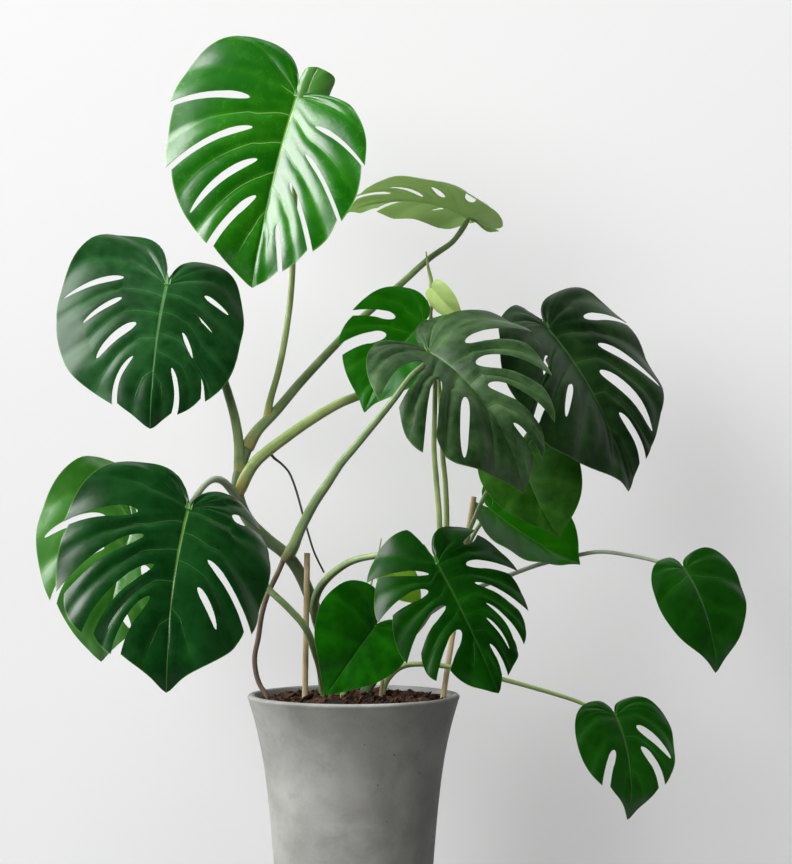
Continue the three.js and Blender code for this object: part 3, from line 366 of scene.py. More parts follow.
def slit_half_width(part, cut, reach):
    """Half the width of a slit, as a share of the margin's run; an open slit ends as wide as its mouth."""
    whole = (reach - cut["near"][1]) / (cut["far"][1] - cut["near"][1])
    is_open = cut["far"][1] >= 1
    start = np.clip(whole / SLIT_ROUND, 0, 1)
    inner = np.sqrt(start * (2 - start))
    if is_open:
        outer = 1 - (1 - cut["mouth"]) * whole
    else:
        outer = np.sqrt(np.clip(1 - ((whole - SLIT_ROUND) / (1 - SLIT_ROUND)) ** 2, 0, 1))
    shape = np.where(whole < SLIT_ROUND, inner, outer)
    shape = np.where((whole <= 1e-9) | ((whole >= 1 - 1e-9) & (not is_open)), 0, shape)
    share = slit_centre(cut, reach)
    ahead = vein_point(part, share + SHARE_STEP, reach)
    behind = vein_point(part, share - SHARE_STEP, reach)
    speed = np.linalg.norm(ahead - behind, axis=-1)
    return cut["width"] * shape / 2 / (speed / (2 * SHARE_STEP))


def finger_columns(slits, total):
    """Even numbers of columns for the fingers, so that a vein can run up the middle of each."""
    middles = [(cut["near"][0] + cut["far"][0]) / 2 for cut in slits]
    bounds = [0, *middles, 1]
    pairs = total // 2
    counts = [max(1, int((b - a) * pairs)) for a, b in zip(bounds, bounds[1:])]
    while sum(counts) < pairs:
        fullness = [n / (bounds[i + 1] - bounds[i]) for i, n in enumerate(counts)]
        counts[fullness.index(min(fullness))] += 1
    while sum(counts) > pairs:
        counts[counts.index(max(counts))] -= 1
    return [2 * n for n in counts], bounds


def vein_parts(width):
    """Where the side veins run in a finger, as parts of its width."""
    count = max(1, round(width / VEIN_SPACING))
    return [(i + 0.5) / count for i in range(count)]


def finger_rows(before, after, columns):
    """Reach at which the slits begin, and the reach of each row of the grid."""
    near_a, far_a = (before["near"][1], before["far"][1]) if before else DEFAULT_REACH
    near_b, far_b = (after["near"][1], after["far"][1]) if after else DEFAULT_REACH
    near = near_a + (near_b - near_a) * columns
    far = np.minimum(FARTHEST_CUT, far_a + (far_b - far_a) * columns)
    rows = [near * s for s in RIB_STEPS]
    rows += [near + s * (far - near) for s in SLIT_STEPS]
    rows += [far + s * (1 - far) for s in EDGE_STEPS]
    rows += [np.ones_like(near)]
    return near[:, None], np.stack(rows, 1)


class Finger:
    """Grid of the stretch of half a blade between two slits: columns from base to tip, rows to the margin."""

    def __init__(self, part, before, after, first, count, total):
        self.part = part
        self.first = first
        self.count = count
        self.total = total
        self.is_last = after is None
        columns = np.linspace(0, 1, count + 1)
        self.near, self.reach = finger_rows(before, after, columns)
        self.column = columns[:, None] * np.ones_like(self.reach)
        self.spread = smooth(self.reach / self.near)
        self.low = self.edge(before, 1, 0)
        self.high = self.edge(after, -1, 1)
        self.joined_before = self.whole_rows(before, 0)
        self.joined_after = self.whole_rows(after, -1)
        self.pulled = self.pulled_reach(before)

    def edge(self, cut, sign, end):
        """Share at one side of the finger, beside a slit or at the end of the half."""
        if cut is None:
            return 0 * self.reach + end
        return slit_centre(cut, self.reach) + sign * slit_half_width(self.part, cut, self.reach)

    def whole_rows(self, cut, at):
        """Rows in which this finger and the next one are joined."""
        if cut is None:
            return np.zeros(self.reach.shape[1], bool)
        return slit_half_width(self.part, cut, self.reach[at]) == 0

    def pulled_reach(self, before):
        """Reach with the corner beside an open slit drawn back."""
        if before is None or before["far"][1] < 1:
            return self.reach
        back = self.part["hook"] * (1 - self.column) ** 2
        return self.reach * (1 - back * smooth((self.reach - self.near) / (1 - self.near)))

    def flat_at(self, at, even):
        """Share and flat place of a column, evenly placed on the midrib and then between the slits."""
        share = even + (self.low + (self.high - self.low) * at - even) * self.spread
        flat = vein_point(self.part, share, self.pulled)
        flat[..., 1] += vein_shift(self.part["length"], even) * (1 - self.spread)
        return share, flat

    def grid(self):
        """Share and flat place of every point of the grid."""
        steps = (self.first + np.arange(self.count + 1)) / self.total
        return self.flat_at(self.column, steps[:, None] * np.ones_like(self.reach))

    def vein_distance(self, flat, veins):
        """Distance in mm to the nearest side vein."""
        distance = np.full(self.reach.shape, FAR_AWAY)
        for vein in veins:
            line = self.flat_at(vein, (self.first + vein * self.count) / self.total)[1]
            distance = np.minimum(distance, np.linalg.norm(line - flat, axis=-1))
        return distance

    def lift(self, spec, share, veins, seed):
        """Rise between the side veins, waves along the margin, and the margin's dip where a vein meets it."""
        nearest = np.min([np.abs(self.column - v) for v in veins], axis=0)
        between_veins = nearest / (0.5 / len(veins))
        arch = np.sin(np.pi * np.clip(self.reach * ARCH_END, 0, 1)) ** ARCH_FULLNESS
        rise = np.sin(np.pi * ARCH_TURN * between_veins) * arch
        size = self.part["width"] / RELIEF_WIDTH
        wave = np.sin(share * WAVE_TURNS + seed) * smooth((self.reach - WAVE_FROM) / (1 - WAVE_FROM))
        lift = spec["quilt"] * size * rise + spec["wave"] * size * wave
        dip = smooth((self.reach - DIP_FROM) / (1 - DIP_FROM)) * (1 - between_veins)
        return lift - DIP_DEPTH * size * dip

    def key(self, side, number, c, r):
        """Name of a grid point; what two fingers or two halves share has the same name in both."""
        if r == 0:
            return "rib", max(self.first + c, int(BASE_SHARE * self.total))
        if c == self.count and self.is_last:
            return "tip", r
        if c == 0 and self.joined_before[r]:
            return side, "join", number - 1, r
        if c == self.count and self.joined_after[r]:
            return side, "join", number, r
        return side, number, c, r


class Blade:
    """Points, faces and vein distances of a blade's middle surface."""

    def __init__(self, spec):
        self.spec = spec
        self.frame = blade_frame(spec)
        self.keys = {}
        self.points = []
        self.data = []
        self.faces = []
        whole = not (spec["left"]["slits"] or spec["right"]["slits"])
        self.total = WHOLE_COLUMNS if whole else CUT_COLUMNS
        for name, side in (("left", -1), ("right", 1)):
            self.add_half(name, side)
        self.points = np.array(self.points)
        self.data = np.array(self.data)

    def index(self, key, point, data):
        if key not in self.keys:
            self.keys[key] = len(self.points)
            self.points.append(point)
            self.data.append(data)
        return self.keys[key]

    def add_half(self, name, side):
        part = {**self.spec[name], "length": self.frame["length"]}
        part["margin"] = margin_of(part, self.spec["drip"])
        counts, bounds = finger_columns(part["slits"], self.total)
        cuts = [None, *part["slits"], None]
        seed = (len(name) * HALF_SHIFT + self.spec["base"][0] * PLACE_SHIFT) % FULL_TURN
        first = 0
        for number, count in enumerate(counts):
            finger = Finger(part, cuts[number], cuts[number + 1], first, count, self.total)
            veins = vein_parts(bounds[number + 1] - bounds[number])
            self.add_finger(finger, side, number, veins, seed)
            first += count

    def add_finger(self, finger, side, number, veins, seed):
        share, flat = finger.grid()
        vein_mm = finger.vein_distance(flat, veins)
        lift = finger.lift(self.spec, share, veins, seed)
        along = np.clip(flat[..., 1] / self.frame["length"], ALONG_FROM, 1)
        data = np.stack([lift, vein_mm, flat[..., 0], finger.reach, along], -1)
        points = place(self.spec, self.frame, finger.part, side, flat)
        ids = np.zeros(finger.reach.shape, int)
        for c, r in np.ndindex(*ids.shape):
            ids[c, r] = self.index(finger.key(side, number, c, r), points[c, r], data[c, r])
        self.add_faces(ids, side)

    def add_faces(self, ids, side):
        """Quads of the grid, or triangles where two of the corners are one point."""
        for c, r in np.ndindex(ids.shape[0] - 1, ids.shape[1] - 1):
            quad = [ids[c, r], ids[c + 1, r], ids[c + 1, r + 1], ids[c, r + 1]]
            quad = [v for i, v in enumerate(quad) if v != quad[i - 1]]
            if side < 0:
                quad.reverse()
            if len(quad) > 2:
                self.faces.append(quad)


def face_normals_to_points(points, faces):
    """Mean normal of the faces round each point, weighed by their size."""
    normals = np.zeros_like(points)
    for size in (3, 4):
        group = np.array([f for f in faces if len(f) == size])
        if not len(group):
            continue
        a, b, c = points[group[:, 0]], points[group[:, 1]], points[group[:, 2]]
        d = points[group[:, -1]]
        normal = np.cross(c - a, d - b) if size == 4 else np.cross(b - a, c - a)
        for i in range(size):
            np.add.at(normals, group[:, i], normal)
    return normals / np.maximum(np.linalg.norm(normals, axis=1), 1e-12)[:, None]


def border_edges(faces):
    """Edges that only one face has."""
    seen = {}
    for face in faces:
        for a, b in zip(face, face[1:] + face[:1]):
            seen[(a, b)] = True
    return [edge for edge in seen if (edge[1], edge[0]) not in seen]


def new_mesh(name, points_mm, faces, sharp):
    mesh = bpy.data.meshes.new(name)
    mesh.from_pydata((np.asarray(points_mm) * MM).tolist(), [], [list(map(int, f)) for f in faces])
    mesh.validate()
    mesh.shade_smooth()
    mesh.set_sharp_from_angle(angle=math.radians(sharp))
    obj = bpy.data.objects.new(name, mesh)
    bpy.context.scene.collection.objects.link(obj)
    return obj


def set_attribute(obj, name, values):
    layer = obj.data.attributes.new(name, "FLOAT", "POINT")
    layer.data.foreach_set("value", np.asarray(values, np.float32))


def finish_piece(obj, material, slot, *nodes):
    """Gives a piece its material and its body, with the solids that it replaces; slot is not used."""
    obj.data.materials.append(material)
    if nodes:
        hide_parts(*nodes)
    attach(obj, "root")


def blade_object(name, spec, material, slot, node):
    blade = Blade(spec)
    lift, vein, rib, reach, along = blade.data.T
    normals = face_normals_to_points(blade.points, blade.faces)
    middle = blade.points + normals * lift[:, None]
    normals = face_normals_to_points(middle, blade.faces)
    size = spec["left"]["width"] / RIB_BLADE_WIDTH
    rib_height = (RIB_RISE * (1 - np.clip(along, 0, 1)) + RIB_TIP_RISE) * size
    keel = rib_height * ridge(rib, RIB_WIDTH * size) * smooth((RIB_END - along) / RIB_FADE)
    groove = RIB_GROOVE * ridge(rib, RIB_GROOVE_WIDTH * size)
    upper = middle + normals * (BLADE_THICKNESS / 2 - groove)[:, None]
    lower = middle - normals * (BLADE_THICKNESS / 2 + keel)[:, None]
    count = len(middle)
    faces = list(blade.faces)
    faces += [[i + count for i in reversed(face)] for face in blade.faces]
    faces += [[b, a, a + count, b + count] for a, b in border_edges(blade.faces)]
    obj = new_mesh(f"blade_{name}", np.vstack([upper, lower]), faces, BLADE_SHARP)
    for label, values in (("vein", vein), ("rib", rib), ("reach", reach), ("along", along)):
        set_attribute(obj, label, np.concatenate([values, values]))
    set_attribute(obj, "under", np.concatenate([np.zeros(count), np.ones(count)]))
    finish_piece(obj, material, slot, node)


# Stems, stalks and roots: points up the middle and the radius at foot and head, in mm
def tube(path, radius, depth=0, leaf_name=None):
    """A tube along a path, from this deep in the soil, and up to the base of a leaf where it carries one."""
    return {"path": path, "radius": radius, "depth": depth, "leaf": leaf_name}


STEMS = {
    "stem_main": tube(
        [(-17, 39, 329), (-21, 37, 347), (-28, 32, 372), (-42, 24, 413), (-59, 14, 461), (-75, 4, 496),
         (-89, -2, 514), (-112, -8, 533), (-136, -14, 557), (-148, -20, 581), (-152, -26, 604),
         (-147, -28, 631), (-138, -28, 657)],
        (9, 7.5), 56),
    "stem_right": tube(
        [(15, 45, 329), (23, 45, 343), (38, 44, 369), (61, 40, 394), (85, 36, 418), (105, 32, 452),
         (115, 30, 489)],
        (8.5, 6.5), 56),
}
STALKS = {
    "top_right": tube(
        [(-139, -28, 654), (-127, -24, 675), (-103, -10, 701), (-71, 10, 740), (-25, 40, 791), (7, 62, 825),
         (61, 96, 874), (102, 122, 912), (134, 138, 936)], (7.5, 2.8), 0, "top_right"),
    "crown": tube(
        [(-114, -16, 690), (-109, -13, 718), (-100, -8, 750), (-91, 6, 796), (-83, 20, 863), (-80, 26, 943),
         (-78, 24, 1023), (-77, 16, 1078)], (4.5, 3.6), 0, "crown"),
    "left_high": tube(
        [(-148, -27, 624), (-149, -33, 658), (-154, -36, 692), (-165, -30, 730), (-176, -20, 760),
         (-198, -4, 806), (-222, -2, 846)], (7, 3.6), 0, "left_high"),
    "right_dark": tube(
        [(-151, -24, 598), (-128, -36, 635), (-85, -34, 670), (-52, -20, 693), (-18, 0, 713), (4, 16, 722),
         (48, 50, 742), (88, 62, 760), (155, 84, 784), (220, 98, 804)], (8, 3.2), 0, "right_dark"),
    "left_low": tube(
        [(-149, -21, 586), (-160, -36, 601), (-169, -50, 611), (-178, -64, 614), (-189, -80, 608)],
        (5.5, 3.6), 0, "left_low"),
    "left_behind": tube(
        [(-41, 26, 329), (-42, 17, 345), (-44, 4, 362), (-49, -12, 382), (-63, -30, 420), (-85, -34, 446),
         (-111, -26, 470), (-142, -6, 507), (-174, 18, 533), (-218, 40, 552), (-262, 38, 560)], (6, 3.2), 50,
        "left_behind"),
    "centre_front": tube(
        [(-90, -1, 510), (-81, -10, 521), (-69, -22, 548), (-51, -34, 582), (-34, -44, 607), (-17, -50, 633),
         (0, -56, 653), (22, -62, 679), (52, -64, 716), (76, -64, 748)], (7.5, 3), 0, "centre_front"),
    "front_low": tube(
        [(-42, 24, 408), (-50, 4, 430), (-51, -12, 451), (-45, -28, 469), (-34, -42, 484), (-17, -60, 499),
         (0, -76, 509), (22, -88, 515), (54, -98, 518), (84, -104, 515)], (6.2, 3.4), 0, "front_low"),
    "front_small": tube(
        [(-14, 12, 329), (-12, 8, 344), (-7, -2, 364), (4, -22, 392), (16, -42, 414)],
        (4.6, 3), 50, "front_small"),
    "centre_behind": tube(
        [(110, 31, 470), (111, 18, 502), (113, 12, 530), (113, 12, 559), (109, 14, 612), (106, 14, 651),
         (107, 18, 704), (107, 22, 744), (102, 24, 784)], (4.2, 2.8), 0, "centre_behind"),
    "new_upper": tube(
        [(114, 30, 484), (121, 33, 512), (123, 34, 558), (121, 34, 611), (118, 36, 642), (116, 40, 691),
         (113, 46, 736), (107, 54, 791), (102, 56, 836)], (4, 2.4), 0, "new_upper"),
    "right_hanging": tube(
        [(107, 32, 460), (124, 36, 485), (141, 38, 515), (156, 46, 550), (176, 58, 592), (198, 66, 624)],
        (3.6, 2.6), 0, "right_hanging"),
    "right_folded": tube(
        [(101, 33, 444), (122, 54, 470), (140, 82, 500), (156, 108, 526), (170, 132, 548)],
        (3.6, 2.4), 0, "right_folded"),
    "far_right": tube(
        [(92, 35, 430), (122, 66, 446), (155, 92, 460), (209, 118, 480), (250, 128, 494), (304, 128, 507),
         (333, 120, 512), (372, 100, 508), (410, 76, 500)], (3.6, 2.2), 0, "far_right"),
    "low_right": tube(
        [(38, 33, 329), (42, 31, 342), (50, 26, 354), (64, 16, 365), (87, 6, 369), (135, -6, 365),
         (179, -14, 355), (218, -18, 345), (257, -20, 334), (296, -18, 321)], (4.6, 2.2), 50, "low_right"),
    "new_lower": tube(
        [(-5, 76, 329), (4, 74, 369), (16, 70, 420), (26, 64, 456), (34, 60, 474)],
        (2.4, 1.4), 40, "new_lower"),
}
EXTRAS = {
    "dry_stub": tube([(36, 6, 329), (38, 4, 349)], (3.4, 2.4), 40),
    "sheath_upper": tube([(101, 58, 850), (103, 64, 876), (98, 64, 900), (96, 64, 917)], (3.8, 0.8)),
    "rolled_leaf": tube(
        [(-12, 90, 329), (0, 86, 380), (19, 80, 458), (30, 76, 500), (36, 74, 532)], (2, 1), 40),
    "aerial_root_thick": tube(
        [(-115, 5, 329), (-122, 7, 338), (-128, 10, 352), (-131, 10, 377), (-126, 8, 403), (-121, 4, 435),
         (-113, 0, 462), (-101, -4, 487), (-90, -4, 512)], (3.2, 3.6), 22),
    "aerial_root_thin": tube(
        [(-110, -33, 650), (-104, -20, 641), (-95, -18, 634), (-85, -16, 623), (-77, -14, 604),
         (-70, -12, 580), (-67, -10, 568), (-60, -6, 543), (-52, -2, 517), (-39, 0, 490)], (1.6, 1.3)),
    "stake_left": tube([(-65, 0, 268), (-61, -6, 516)], (3.9, 3.9)),
    "stake_right": tube([(111, -2, 284), (160, 62, 588)], (3.7, 3.7)),
}


# The tubes' steps, sides and groove, and how they swell at the foot and below the blade, in mm and shares
PATH_STEP = 6
TUBE_SIDES = 22
TUBE_SHARP = 60
GROOVE_DEPTH = 0.12
GROOVE_WIDTH = 0.5
KNEE_SWELL = 0.18
KNEE_PLACE = 14
KNEE_SPAN = 12
NECK_WAIST = 0.25
NECK_SPAN = 5
FOOT_SWELL = 0.22
FOOT_SPAN = 26
NECK_RUN = 3.5
NECK_SINK = 0.5


def full_path(spec):
    """Points of the path, with the stretch in the soil before them and the way into the blade after."""
    path = [np.array(p, float) for p in spec["path"]]
    if spec["depth"]:
        foot = path[0] - np.array([0, 0, spec["depth"]])
        path = [foot, (foot + path[0]) / 2, *path]
    if spec["leaf"]:
        fr = blade_frame(LEAVES[spec["leaf"]])
        back = -math.cos(fr["arc"] / 2) * fr["n"] + math.sin(fr["arc"] / 2) * fr["d"]
        path += [fr["base"] + back * spec["radius"][1] * NECK_RUN, fr["base"] + back * NECK_SINK]
    return np.array(path)


def knots(points):
    """Places of points along their curve, in which a step counts as the root of its length."""
    places = [0.0]
    for a, b in zip(points, points[1:]):
        places.append(places[-1] + max(np.linalg.norm(b - a), 1e-6) ** 0.5)
    return places


def between(t, start, end, a, b):
    """The point that lies between a and b as t lies between start and end."""
    return (end - t) / (end - start) * a + (t - start) / (end - start) * b


def smooth_path(points, step):
    """Centripetal curve through the points in even steps, with each step's place in the list of points."""
    padded = np.vstack([2 * points[0] - points[1], points, 2 * points[-1] - points[-2]])
    out, where = [], []
    for i in range(1, len(padded) - 2):
        p0, p1, p2, p3 = padded[i - 1:i + 3]
        t0, t1, t2, t3 = knots((p0, p1, p2, p3))
        count = max(2, int(np.linalg.norm(p2 - p1) / step))
        for t in np.linspace(t1, t2, count, endpoint=False):
            a1 = between(t, t0, t1, p0, p1)
            a2 = between(t, t1, t2, p1, p2)
            a3 = between(t, t2, t3, p2, p3)
            b1 = between(t, t0, t2, a1, a2)
            b2 = between(t, t1, t3, a2, a3)
            out.append(between(t, t1, t2, b1, b2))
            where.append(i - 1 + (t - t1) / (t2 - t1))
    out.append(padded[-2])
    where.append(len(points) - 1.0)
    return np.array(out), np.array(where) / (len(points) - 1)


def ring_faces(rings, sides):
    """Quads between rings of points that follow each other."""
    faces = []
    for ring in range(rings - 1):
        for k in range(sides):
            a, b = ring * sides + k, ring * sides + (k + 1) % sides
            faces.append([a, b, b + sides, a + sides])
    return faces


def tube_mesh(name, centres, radii):
    """Rings along the curve, closed at both ends; a shallow groove runs along the front."""
    last = len(centres) - 1
    tangents = np.array([unit(centres[min(last, i + 1)] - centres[max(0, i - 1)]) for i in range(last + 1)])
    runs = runs_along(centres)
    normal = np.array([0, 1.0, 0])
    angles = np.linspace(0, 2 * np.pi, TUBE_SIDES, endpoint=False)
    off_front = np.angle(np.exp(1j * (angles - math.pi)))
    dent = 1 - GROOVE_DEPTH * ridge(off_front, GROOVE_WIDTH)
    points = []
    for centre, tangent, radius in zip(centres, tangents, radii):
        normal = unit(normal - normal.dot(tangent) * tangent)
        side = np.cross(tangent, normal)
        ring = np.cos(angles)[:, None] * normal + np.sin(angles)[:, None] * side
        points.append(centre + ring * (radius * dent)[:, None])
    faces = ring_faces(last + 1, TUBE_SIDES)
    faces.append(list(reversed(range(TUBE_SIDES))))
    faces.append([last * TUBE_SIDES + k for k in range(TUBE_SIDES)])
    obj = new_mesh(name, np.vstack(points), faces, TUBE_SHARP)
    set_attribute(obj, "along", np.repeat(runs / runs[-1], TUBE_SIDES))
    set_attribute(obj, "run", np.repeat(runs, TUBE_SIDES))
    set_attribute(obj, "round", np.tile(np.cos(angles), last + 1))
    return obj


def stalk_object(name, spec, material, slot, node):
    """A tube with a knee below the blade that it carries, and a swollen foot if it isn't sunk in the soil."""
    centres, where = smooth_path(full_path(spec), PATH_STEP)
    foot, head = spec["radius"]
    radii = foot + (head - foot) * where
    runs = runs_along(centres)
    left = runs[-1] - runs
    if spec["leaf"]:
        radii = radii * (1 + KNEE_SWELL * ridge(left - KNEE_PLACE, KNEE_SPAN))
        radii = radii * (1 - NECK_WAIST * ridge(left, NECK_SPAN))
    if not spec["depth"]:
        radii = radii * (1 + FOOT_SWELL * ridge(runs, FOOT_SPAN))
    finish_piece(tube_mesh(name, centres, radii), material, slot, node)


# Pot, in mm: radius against height, as in the solid model, and the lip's inset from the rim against height
POT_HEIGHT = 330
POT_OUTER = [
    (100, 0), (104.5, 103), (110, 169), (113, 198), (117.5, 235), (124, 270), (130, 296), (138.5, 324)]
POT_LIP = [(0.4, 326.5), (0.6, 328), (1.5, 329.3), (3, 330), (8, 330), (9.8, 329.3), (10.8, 327.8)]
POT_FOOT = [(0, 0), (97, 0), (99.2, 0.8)]
POT_HEIGHTS = [3, 8, *range(16, 316, 12)]
UNDER_LIP = [317, 321, 324]
INNER_HEIGHTS = [324, 316, 300, 270, 235, 198, 150, 100]
CORNER_SPAN = 16
POT_WALL = 11
POT_FLOOR = 24
POT_SIDES = 160
POT_SHARP = 40
RIM_RADIUS = 140
DRAIN_RADIUS = 9
DRAIN_CIRCLE = 58
DRAIN_HOLES = 3
DRAIN_SIDES = 40
CUTTER_LENGTH = 80

# Soil and its bark chips, in mm
SOIL_LEVEL = 320
SOIL_MOUND = 4
SOIL_BACK = 3
SOIL_GAP = 0.5
SOIL_SIDES = 150
SOIL_RINGS = 48
SOIL_SHARP = 180
SOIL_WALL = [296, 270, 235, 198, 103, POT_FLOOR + 1]
CHIP_COUNT = 430
CHIP_EDGE = 7
CHIP_LENGTHS = (4, 9)
CHIP_WIDTHS = (2.2, 4.8)
CHIP_HEIGHTS = (1, 2.6)
CHIP_ROUGH = 0.62
CHIP_TILT = 0.38
CHIP_BEVEL = 0.5
CHIP_SHARP = 30


def outer_radius(height):
    """Radius of the pot's outer side at a height."""
    table = np.array(POT_OUTER + [(RIM_RADIUS, POT_HEIGHT)])
    return np.interp(height, table[:, 1], table[:, 0])


def inner_radius(height):
    return outer_radius(height) - POT_WALL


def smooth_outer(height):
    """The outline without its corners, as the mean over a short stretch."""
    spans = np.linspace(-CORNER_SPAN, CORNER_SPAN, 17)
    return float(np.mean([outer_radius(np.clip(height + s, 0, POT_HEIGHT)) for s in spans]))


def ring_points(radius, height, sides):
    angles = [2 * math.pi * k / sides for k in range(sides)]
    return [(radius * math.cos(angle), radius * math.sin(angle), height) for angle in angles]


def lathe(name, profile, sides):
    """Turns (radius, height) pairs round Z; the first and last pairs lie on the axis and close the shape."""
    rings = profile[1:-1]
    points = []
    for radius, height in rings:
        points += ring_points(radius, height, sides)
    faces = ring_faces(len(rings), sides)
    for ring, height, turn in ((0, profile[0][1], True), (len(rings) - 1, profile[-1][1], False)):
        points.append((0, 0, height))
        middle = len(points) - 1
        for k in range(sides):
            a, b = ring * sides + k, ring * sides + (k + 1) % sides
            faces.append([b, a, middle] if turn else [a, b, middle])
    return new_mesh(name, points, faces, POT_SHARP)


def cut_drain_hole(obj, x, y):
    bpy.ops.mesh.primitive_cylinder_add(
        vertices=DRAIN_SIDES, radius=DRAIN_RADIUS * MM, depth=CUTTER_LENGTH * MM,
        location=(x * MM, y * MM, 0))
    cutter = bpy.context.object
    cut = obj.modifiers.new("drain", "BOOLEAN")
    cut.object = cutter
    cut.operation = "DIFFERENCE"
    apply_modifiers(obj)
    bpy.data.objects.remove(cutter)


def pot_object(material):
    outer = [(smooth_outer(z), z) for z in POT_HEIGHTS]
    outer += [(outer_radius(z), z) for z in UNDER_LIP]
    lip = [(RIM_RADIUS - inset, z) for inset, z in POT_LIP]
    inner = [(inner_radius(z), z) for z in [*INNER_HEIGHTS, POT_FLOOR]]
    obj = lathe("pot_wall", POT_FOOT + outer + lip + inner + [(0, POT_FLOOR)], POT_SIDES)
    for x, y, _ in ring_points(DRAIN_CIRCLE, 0, DRAIN_HOLES):
        cut_drain_hole(obj, x, y)
    finish_piece(obj, material, "pot", "pot")


def apply_modifiers(obj):
    graph = bpy.context.evaluated_depsgraph_get()
    done = bpy.data.meshes.new_from_object(obj.evaluated_get(graph))
    old = obj.data
    obj.modifiers.clear()
    obj.data = done
    bpy.data.meshes.remove(old)


def soil_height(x, y):
    """Height of the soil: a low mound with lumps and crumbs that die away at the pot's wall."""
    inside = 1 - np.hypot(x, y) / RIM_RADIUS
    lumps = np.sin(x / 7 + 1.3) * np.cos(y / 6) + 0.6 * np.sin((x + y) / 4.3)
    crumbs = 0.9 * np.sin(x / 2.1 + y / 3.3) * np.sin(y / 1.9 - x / 5.1)
    crumbs += 0.7 * np.sin(x / 1.3) * np.cos(y / 1.5)
    back = SOIL_BACK * smooth((y + x * 0.4) / 120)
    mound = SOIL_LEVEL + SOIL_MOUND * smooth(inside)
    return mound + (2 * lumps + crumbs) * smooth(inside * 6) + back * smooth(inside * 8)


def soil_points():
    """The middle of the top, rings out to the wall, rings down the wall and the middle of the underside."""
    edge = inner_radius(SOIL_LEVEL) - SOIL_GAP
    points = [(0, 0, float(soil_height(0, 0)))]
    for ring in range(1, SOIL_RINGS + 1):
        flat = ring_points(edge * ring / SOIL_RINGS, 0, SOIL_SIDES)
        points += [(x, y, float(soil_height(x, y))) for x, y, _ in flat]
    for height in SOIL_WALL:
        points += ring_points(inner_radius(height) - SOIL_GAP, height, SOIL_SIDES)
    return points + [(0, 0, POT_FLOOR + 1)]


def soil_object(material):
    points = soil_points()
    rings = SOIL_RINGS + len(SOIL_WALL)
    faces = []
    for k in range(SOIL_SIDES):
        after = (k + 1) % SOIL_SIDES
        faces.append([0, 1 + k, 1 + after])
        for ring in range(rings - 1):
            a = 1 + ring * SOIL_SIDES
            faces.append([a + k, a + SOIL_SIDES + k, a + SOIL_SIDES + after, a + after])
        a = 1 + (rings - 1) * SOIL_SIDES
        faces.append([a + k, len(points) - 1, a + after])
    finish_piece(new_mesh("soil_bed", points, faces, SOIL_SHARP), material, "soil", "soil")


def chip_points():
    """Corners of one bark chip: a rough wedge, turned and tilted, that lies on the soil."""
    radius = (inner_radius(SOIL_LEVEL) - CHIP_EDGE) * math.sqrt(rng.random())
    angle = rng.random() * 2 * math.pi
    x, y = radius * math.cos(angle), radius * math.sin(angle)
    size = np.array([rng.uniform(*CHIP_LENGTHS), rng.uniform(*CHIP_WIDTHS), rng.uniform(*CHIP_HEIGHTS)])
    corners = np.array([(x, y, z) for x in (-1, 1) for y in (-1, 1) for z in (-1, 1)], float)
    rough = corners * rng.uniform(CHIP_ROUGH, 1, (8, 3)) * size
    turn = rng.random() * 2 * math.pi
    tilt = rng.normal(0, CHIP_TILT, 2)
    cz, sz = math.cos(turn), math.sin(turn)
    rough = rough @ np.array([[cz, sz, 0], [-sz, cz, 0], [0, 0, 1]])
    rough[:, 2] += rough[:, 0] * tilt[0] + rough[:, 1] * tilt[1]
    return rough + np.array([x, y, float(soil_height(x, y)) + size[2] * 0.5])


def chips_object(material):
    """Bark chips, each with its own tone."""
    sides = [(0, 1, 3, 2), (4, 6, 7, 5), (0, 4, 5, 1), (2, 3, 7, 6), (0, 2, 6, 4), (1, 5, 7, 3)]
    points, faces, tones = [], [], []
    for _ in range(CHIP_COUNT):
        start = len(points)
        points.extend(chip_points().tolist())
        faces.extend([[start + i for i in face] for face in sides])
        tones.extend([rng.random()] * 8)
    obj = new_mesh("bark_chips", points, faces, CHIP_SHARP)
    set_attribute(obj, "tone", tones)
    bevel = obj.modifiers.new("round", "BEVEL")
    bevel.width = CHIP_BEVEL * MM
    bevel.segments = 2
    finish_piece(obj, material, "soil")


